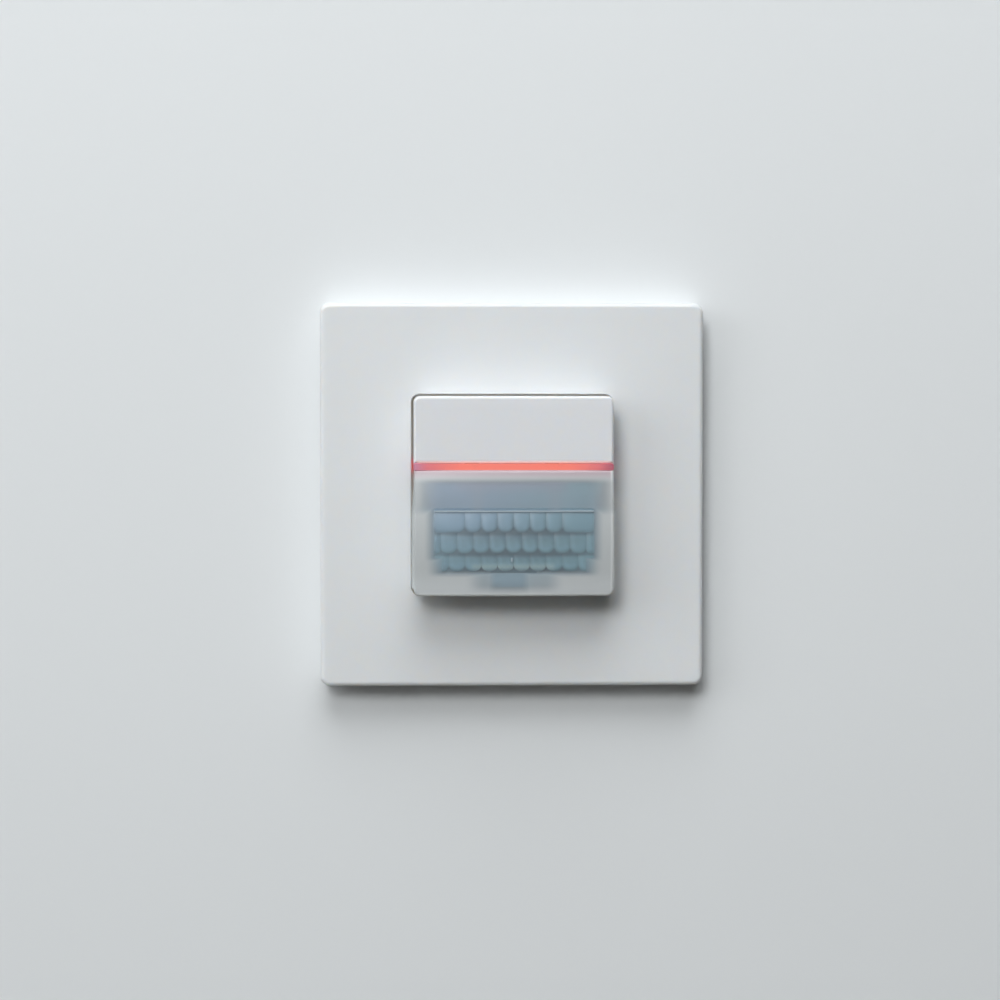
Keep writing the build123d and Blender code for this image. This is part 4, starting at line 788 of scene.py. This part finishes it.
def lens_finish(name, left, right, foot, foot_z):
    """Blue-grey plastic, greener to the right and down, and darker by the stored shade."""
    material, tree, shader = start_material(name)
    skin = place_group(tree, moulded_skin, Cloud=0.10, Grain_Scale=2500.0, Roughness=0.38)
    finish_from(tree, shader, skin, 0.000003)
    leftish = window(tree, -FAR, 0, -FAR, FAR, 26.0)
    colour = blend(tree, leftish, right, left)
    lower = window(tree, -FAR, FAR, -FAR, foot_z, 9.0)
    colour = blend(tree, lower, colour, foot, 0.7)
    stored = new_node(tree, "ShaderNodeAttribute", attribute_name="shade")
    colour = blend(tree, stored.outputs["Fac"], colour, LENS_PAINTED_SHADE)
    return material, tree, skin, colour


def shade_tops(tree, colour):
    """Paints shade on the top of each tooth, where the foot of the row above stands before it."""
    place = new_node(tree, "ShaderNodeTexCoord")
    axes = new_node(tree, "ShaderNodeSeparateXYZ")
    tree.links.new(place.outputs["Object"], axes.inputs["Vector"])
    top = new_node(tree, "ShaderNodeAttribute", attribute_name="top")
    above = new_node(tree, "ShaderNodeMath", operation="SUBTRACT")
    tree.links.new(axes.outputs["Z"], above.inputs[0])
    tree.links.new(top.outputs["Fac"], above.inputs[1])
    band = new_node(tree, "ShaderNodeMapRange", interpolation_type="SMOOTHSTEP")
    band.inputs["From Min"].default_value = TOP_SHADE_FROM
    band.inputs["From Max"].default_value = TOP_SHADE_FULL
    tree.links.new(above.outputs["Value"], band.inputs["Value"])
    middle = window(tree, -14.0, 15.0, -FAR, FAR, 16.0)
    weight = new_node(tree, "ShaderNodeMath", operation="MULTIPLY_ADD")
    weight.inputs[1].default_value = TOP_SHADE_MIDDLE
    weight.inputs[2].default_value = TOP_SHADE_ENDS
    tree.links.new(middle, weight.inputs[0])
    both = new_node(tree, "ShaderNodeMath", operation="MULTIPLY")
    tree.links.new(band.outputs["Result"], both.inputs[0])
    tree.links.new(weight.outputs["Value"], both.inputs[1])
    return blend(tree, both.outputs["Value"], colour, LENS_PAINTED_SHADE)


teeth_blue, tree, skin, colour = lens_finish(
    "teeth_blue", TEETH_LEFT, TEETH_RIGHT, TEETH_FOOT, -9.0
)
lowest_lens = window(tree, -6.0, 6.0, -21.5, -17.0, 0.6)
colour = blend(tree, lowest_lens, colour, TEETH_LOWEST)
warm = window(tree, -9.4, 9.2, -16.5, -15.4, 1.4)
colour = blend(tree, warm, colour, TEETH_WARM, 0.8)
tree.links.new(shade_tops(tree, colour), skin.inputs["Colour"])

panel_blue, tree, skin, colour = lens_finish(
    "panel_blue", PANEL_LEFT, PANEL_RIGHT, PANEL_FOOT, -2.0
)
for low_x, high_x in ((-9.4, -7.0), (7.9, 10.6)):
    band = window(tree, low_x, high_x, -12, 12, 1.8)
    colour = blend(tree, band, colour, PANEL_BAND, 0.6)
lilac = window(tree, -13, 12, 1.4, 8, 3.0)
colour = blend(tree, lilac, colour, PANEL_LILAC, 0.75)
tree.links.new(colour, skin.inputs["Colour"])

shell_pale, tree, shader = start_material("shell_pale")
skin = place_group(tree, moulded_skin, Cloud=0.08, Grain_Scale=2500.0, Roughness=0.4)
finish_from(tree, shader, skin, 0.000003)
# Behind the rows the shell is painted as the shade in the gaps between the teeth, darkest in the
# middle.
behind_rows = window(tree, -18.6, 18.6, -17.2, 3.2, 1.0)
behind_panel = window(tree, -21.0, 21.0, -3.4, 3.6, 0.6)
middle = window(tree, -11.0, 11.0, -30, 30, 12.0)
dark = blend(tree, middle, SHELL_SHADE_ENDS, SHELL_SHADE_MIDDLE)
colour = blend(tree, behind_rows, LENS_PALE, dark)
colour = blend(tree, behind_panel, colour, SHELL_AT_PANEL)
look_fringe = window(tree, -9.6, 9.6, -21.5, -17.4, 1.0)
colour = blend(tree, look_fringe, colour, SHELL_AT_FOOT)
tree.links.new(colour, skin.inputs["Colour"])

# %% [markdown]
# ## Shell of the lens
#
# The lens is an open box behind the cover: a thin crowned front with a short wall all round. A
# block loses its back, its front edges are rounded, its front is divided so that it can follow
# the crown, and Solidify gives it its wall.

# %% Lens shell
LENS_WALL = 0.9 * MM
RAISE = 0.7 * MM
lens_level = -lens_low.y - RAISE
lens_shell = add_block("lens_shell", (lens_low.x, -lens_level, lens_low.z), lens_high)
bpy.ops.object.mode_set(mode="EDIT")
choose(lens_shell, "FACE", lambda face: face.normal.y > 0.9)
bpy.ops.mesh.delete(type="FACE")
choose(lens_shell, "EDGE", lambda edge: all(v.co.y < -lens_level + MM for v in edge.verts))
bpy.ops.mesh.bevel(offset=0.8 * MM, segments=3, affect="EDGES")
choose(lens_shell, "FACE", lambda face: face.normal.y < -0.9)
bpy.ops.mesh.subdivide(number_cuts=15)
bpy.ops.object.mode_set(mode="OBJECT")
follow_crown(lens_shell, lens_level)
wall_maker = lens_shell.modifiers.new("wall", "SOLIDIFY")
wall_maker.thickness = LENS_WALL
wall_maker.offset = -1
bpy.ops.object.modifier_apply(modifier=wall_maker.name)
finish_piece(lens_shell, shell_pale, "fresnel_lens")
print("lens shell faces", len(lens_shell.data.polygons))

# %% [markdown]
# ## Teeth of the lens
#
# Each tooth is a small lens of its own that looks one way into the room. It has a straight top,
# straight sides and a round foot, and its front swells. The rows overlap like roof tiles: each
# tooth leans back at its top, where the foot of the row above covers it. A tooth of each size is
# modelled once, from a block: the two corners at its foot are rounded by a bevel, and the front
# is inset twice, each time pushed out a little. The teeth are copies of it, each with its own
# mesh, which moves to its place and is bent onto the crown there. The points keep how deep they
# lie, as the shade that the finish reads.

# %% Tooth of a size, and its copies
ROW_HALF = 18.4
SIDE_GAP = 0.02 * MM
FOOT_GAP = 0.1 * MM
SLOPE = 0.35 * MM
OVERLAP = 1.2 * MM
SWELL = ((0.36 * MM, 0.10 * MM), (0.55 * MM, 0.11 * MM))
SUNK = 0.3 * MM
TINY = 0.01 * MM
FRONT_SHARE = 0.15
NEVER_COVERED = 1.0
COVERED_ABOVE = 1.05
COVERED_SHADE = 0.85
OUTER_FADE = 0.85
RIM_SHADE = 0.04
FOOT_SHADE = 1.6
start_level = lens_level + 0.4 * MM


def model_tooth(width, height, corner, overlap):
    """A swollen tooth of a size in millimetres, its middle at x = 0 and its foot at z = 0."""
    half = (width * MM - SIDE_GAP) / 2
    model = add_block(
        "tooth",
        (-half, -start_level, FOOT_GAP),
        (half, -lens_level + SUNK, height * MM + overlap),
    )
    bpy.ops.object.mode_set(mode="EDIT")
    choose(
        model, "EDGE",
        lambda edge: all(v.co.z < FOOT_GAP + TINY for v in edge.verts)
        and abs(edge.verts[0].co.x - edge.verts[1].co.x) < TINY,
    )
    bpy.ops.mesh.bevel(offset=corner * MM, segments=5, affect="EDGES")
    for inset, push in SWELL:
        choose(
            model, "FACE",
            lambda face: face.normal.y < -0.99
            and face.calc_area() > FRONT_SHARE * width * height * MM**2,
        )
        bpy.ops.mesh.inset(thickness=inset, depth=push)
    bpy.ops.object.mode_set(mode="OBJECT")
    return model


def place_tooth(model, left, right, top, foot, overlap):
    """A copy of a tooth with its own mesh, at its place, shaded and bent onto the crown."""
    piece = model.copy()
    piece.data = model.data.copy()
    bpy.context.collection.objects.link(piece)
    shade = piece.data.attributes.new("shade", "FLOAT", "POINT")
    full = sum(push for _, push in SWELL)
    height = (top - foot) * MM
    for point, value in zip(piece.data.vertices, shade.data):
        rim = 1 - min(max((-point.co.y - start_level) / full, 0), 1)
        up = point.co.z / height
        low = min(max(1 - up, 0), 1)
        covered = COVERED_SHADE if up > COVERED_ABOVE else 0.0
        point.co.x += (left + right) / 2 * MM
        point.co.y += SLOPE * up
        point.co.z += foot * MM
        outward = 1 - OUTER_FADE * (abs(point.co.x) / (ROW_HALF * MM)) ** 2
        value.value = max(rim * min(RIM_SHADE + FOOT_SHADE * low**3, 1), covered) * outward
    tops = piece.data.attributes.new("top", "FLOAT", "POINT")
    for value in tops.data:
        value.value = top * MM if overlap else NEVER_COVERED
    follow_crown(piece, lens_level)
    return piece


def join_as(name, pieces):
    """Joins pieces into one, under a new name."""
    deselect_all()
    for piece in pieces:
        piece.select_set(True)
    bpy.context.view_layer.objects.active = pieces[0]
    bpy.ops.object.join()
    pieces[0].name = name
    return pieces[0]


# %% [markdown]
# ## Rows of teeth
#
# The three rows look at three distances in front of the wall. The teeth of the second row stand
# half a step aside, like bricks, so that no zone is blind. The first row ends in two wide teeth;
# the outer teeth of the others are cut off by the end of the row.

# %% Three rows
PITCH = 3.65
ROW_TOPS = (-3.4, -8.4, -13.1, -17.1)
SMALLEST_TOOTH = 1.2
ROUNDEST = 1.5
ROUND_SHARE = 0.42


def row_edges(first):
    """Places in millimetres where the teeth of a row meet."""
    inner = []
    place = first
    while place < ROW_HALF:
        if ROW_HALF - abs(place) > SMALLEST_TOOTH:
            inner.append(place)
        place += PITCH
    return [-ROW_HALF] + inner + [ROW_HALF]


WIDE_ENDS = [-ROW_HALF] + [step * PITCH for step in range(-3, 4)] + [ROW_HALF]
ROWS = [WIDE_ENDS, row_edges(-5.5 * PITCH), row_edges(-5 * PITCH)]
LOOK_HALF = 5.2
LOOK_FOOT = -20.65
models = {}
teeth = []


def add_tooth(left, right, top, foot, overlap=OVERLAP, roundest=ROUNDEST):
    """Copies a tooth to its place, and models its size first where it is new."""
    width, height = right - left, top - foot
    size = (round(width, 3), round(height, 3), overlap)
    if size not in models:
        corner = min(roundest, width * ROUND_SHARE)
        models[size] = model_tooth(width, height, corner, overlap)
    teeth.append(place_tooth(models[size], left, right, top, foot, overlap))


for row, edges in enumerate(ROWS):
    for left, right in zip(edges[:-1], edges[1:]):
        add_tooth(left, right, ROW_TOPS[row], ROW_TOPS[row + 1], OVERLAP if row else 0)
add_tooth(-LOOK_HALF, LOOK_HALF, ROW_TOPS[3], LOOK_FOOT, roundest=0.8)
deselect_all()
for model in models.values():
    model.select_set(True)
bpy.ops.object.delete()
print("teeth", len(teeth), "of", len(models), "sizes")
lens_teeth = join_as("lens_teeth", teeth)
finish_piece(lens_teeth, teeth_blue)
print("faces of the teeth", len(lens_teeth.data.polygons))

# %% [markdown]
# ## Upper panel of the lens
#
# Above the rows is one wide window that tapers a little towards its foot, where a fine bright lip
# closes it. A block gets its taper in edit mode, then swells like the teeth.

# %% Panel
PANEL_HALF = 20.3 * MM
PANEL_FOOT_HALF = 18.9 * MM
PANEL_UP = 3.3 * MM
PANEL_PROUD = 0.45 * MM
panel = add_block(
    "lens_panel",
    (-PANEL_HALF, -lens_level - PANEL_PROUD, -PANEL_UP),
    (PANEL_HALF, -lens_level + SUNK, PANEL_UP),
)
bpy.ops.object.mode_set(mode="EDIT")
choose(panel, "VERT", lambda point: point.co.z < 0)
bpy.ops.transform.resize(value=(PANEL_FOOT_HALF / PANEL_HALF, 1, 1), center_override=(0, 0, 0))
choose(panel, "FACE", lambda face: face.normal.y < -0.9)
bpy.ops.mesh.inset(thickness=0.5 * MM, depth=0.15 * MM)
choose(panel, "FACE", lambda face: abs(face.normal.y) > 0.6)
bpy.ops.mesh.subdivide(number_cuts=9)
bpy.ops.object.mode_set(mode="OBJECT")
shade = panel.data.attributes.new("shade", "FLOAT", "POINT")
for point, value in zip(panel.data.vertices, shade.data):
    value.value = 0.08 if -point.co.y < lens_level + 0.5 * MM else 0.0
follow_crown(panel, lens_level)
finish_piece(panel, panel_blue)
print("panel faces", len(panel.data.polygons))

# %% [markdown]
# ## Lip and gate mark
#
# The lip is a bar with softened front edges, divided along its length so that it can follow the
# crown. The mould's gate leaves a small rounded pip near the middle of the third row.

# %% Lip and gate mark
LIP_HALF = 19.0 * MM
LIP_PROUD = 0.66 * MM
LIP_FOOT, LIP_TOP = -3.56 * MM, -3.26 * MM
GATE_FOOT, GATE_TOP = -14.8 * MM, -13.9 * MM
GATE_LEFT, GATE_RIGHT = -0.65 * MM, -0.25 * MM
lip = add_block(
    "panel_lip",
    (-LIP_HALF, -lens_level - LIP_PROUD, LIP_FOOT),
    (LIP_HALF, -lens_level + SUNK, LIP_TOP),
)
bpy.ops.object.mode_set(mode="EDIT")
choose(lip, "EDGE", lambda edge: abs(edge.verts[0].co.x - edge.verts[1].co.x) > 10 * MM)
bpy.ops.mesh.subdivide(number_cuts=11)
choose(lip, "EDGE", lambda edge: all(v.co.y < -lens_level - 0.6 * MM for v in edge.verts)
       and abs(edge.verts[0].co.z - edge.verts[1].co.z) < 0.01 * MM)
bpy.ops.mesh.bevel(offset=0.06 * MM, segments=2, affect="EDGES")
bpy.ops.object.mode_set(mode="OBJECT")
follow_crown(lip, lens_level)
# The lip's pale colour is partly a painted highlight, the light that its front edge catches; the
# gate pip has the same colour.
lip_white = plastic("lip_white", (0.48, 0.57, 0.62), roughness=0.4)
finish_piece(lip, lip_white)

gate = add_block(
    "lens_gate",
    (GATE_LEFT, -lens_level - LIP_PROUD, GATE_FOOT),
    (GATE_RIGHT, -lens_level + SUNK, GATE_TOP),
)
bpy.ops.object.mode_set(mode="EDIT")
bpy.ops.mesh.select_all(action="SELECT")
bpy.ops.mesh.bevel(offset=0.15 * MM, segments=3, affect="EDGES")
bpy.ops.object.mode_set(mode="OBJECT")
follow_crown(gate, lens_level)
finish_piece(gate, lip_white)
print("lip faces", len(lip.data.polygons), "gate faces", len(gate.data.polygons))

# %% [markdown]
# ## Dust skirt in the gap
#
# Between the insert and the frame's opening one looks down a narrow gap. A thin white skirt closes
# it at its foot and keeps plaster dust out. It is a flat block whose front and back faces are inset
# and then bridged into a frame.

# %% Skirt
SKIRT_OUTER = 24.4 * MM
SKIRT_INNER = 22.2 * MM
SKIRT_BACK = 2.45 * MM
SKIRT_THICKNESS = 0.4 * MM
skirt = add_block(
    "dust_skirt",
    (-SKIRT_OUTER, -SKIRT_BACK - SKIRT_THICKNESS, -SKIRT_OUTER),
    (SKIRT_OUTER, -SKIRT_BACK, SKIRT_OUTER),
)
bpy.ops.object.mode_set(mode="EDIT")
choose(skirt, "EDGE", lambda edge: abs(edge.verts[0].co.y - edge.verts[1].co.y) > 0.1 * MM)
bpy.ops.mesh.bevel(offset=1.5 * MM, segments=4, affect="EDGES")
choose(skirt, "FACE", lambda face: abs(face.normal.y) > 0.9)
bpy.ops.mesh.inset(thickness=SKIRT_OUTER - SKIRT_INNER, use_individual=True)
bpy.ops.mesh.bridge_edge_loops()
bpy.ops.object.mode_set(mode="OBJECT")
skirt_white = plastic("skirt_white", (0.72, 0.72, 0.70), roughness=0.5)
light_gap(skirt_white)
finish_piece(skirt, skirt_white)
print("skirt faces", len(skirt.data.polygons))

# %% [markdown]
# ## Wall and floor
#
# The switch hangs on a plain pale wall, over a pale floor. The wall has the square opening that
# the plate hides, and from behind it lets the eye through, so that the insert can be seen. The
# opening is the middle of one large face: that face is inset, and what is left in it is deleted.

# %% Stage
def pale_plane(name, place, turn, colour, side=4.0):
    """A large flat stage surface."""
    bpy.ops.mesh.primitive_plane_add(size=side, location=place, rotation=turn)
    surface = bpy.context.object
    surface.name = name
    material, tree, shader = start_material(name + "_paint")
    shader.inputs["Base Color"].default_value = (*colour, 1)
    shader.inputs["Roughness"].default_value = 0.9
    give_finish(surface, material)
    return surface, tree, shader


def seen_as(tree, mask, first, second):
    """Sends two shaders to the material's output, mixed by a mask."""
    mix = new_node(tree, "ShaderNodeMixShader")
    output = next(node for node in tree.nodes if node.type == "OUTPUT_MATERIAL")
    tree.links.new(mask, mix.inputs["Fac"])
    tree.links.new(first, mix.inputs[1])
    tree.links.new(second, mix.inputs[2])
    tree.links.new(mix.outputs["Shader"], output.inputs["Surface"])


WALL_BEHIND = 0.05 * MM
WALL_SIDE = 4.0
OPENING_SIDE = 86.4 * MM
wall, tree, shader = pale_plane(
    "pale_wall", (0, WALL_BEHIND, 0), (math.radians(90), 0, 0), (0.78, 0.80, 0.81), WALL_SIDE
)
bpy.ops.object.mode_set(mode="EDIT")
bpy.ops.mesh.inset(thickness=(WALL_SIDE - OPENING_SIDE) / 2, depth=0)
bpy.ops.mesh.delete(type="FACE")
bpy.ops.object.mode_set(mode="OBJECT")
print("wall faces", len(wall.data.polygons))
sides = new_node(tree, "ShaderNodeNewGeometry")
clear = new_node(tree, "ShaderNodeBsdfTransparent")
seen_as(tree, sides.outputs["Backfacing"], shader.outputs["BSDF"], clear.outputs["BSDF"])
floor, tree, shader = pale_plane("pale_floor", (0, -1.9, -1.6), (0, 0, 0), (0.30, 0.27, 0.23))
to_eye = new_node(tree, "ShaderNodeLightPath")
pale = new_node(tree, "ShaderNodeEmission", Color=(0.86, 0.87, 0.875, 1), Strength=1.0)
seen_as(tree, to_eye.outputs["Is Camera Ray"], shader.outputs["BSDF"], pale.outputs["Emission"])
deselect_all()
print("stage", wall.name, floor.name)
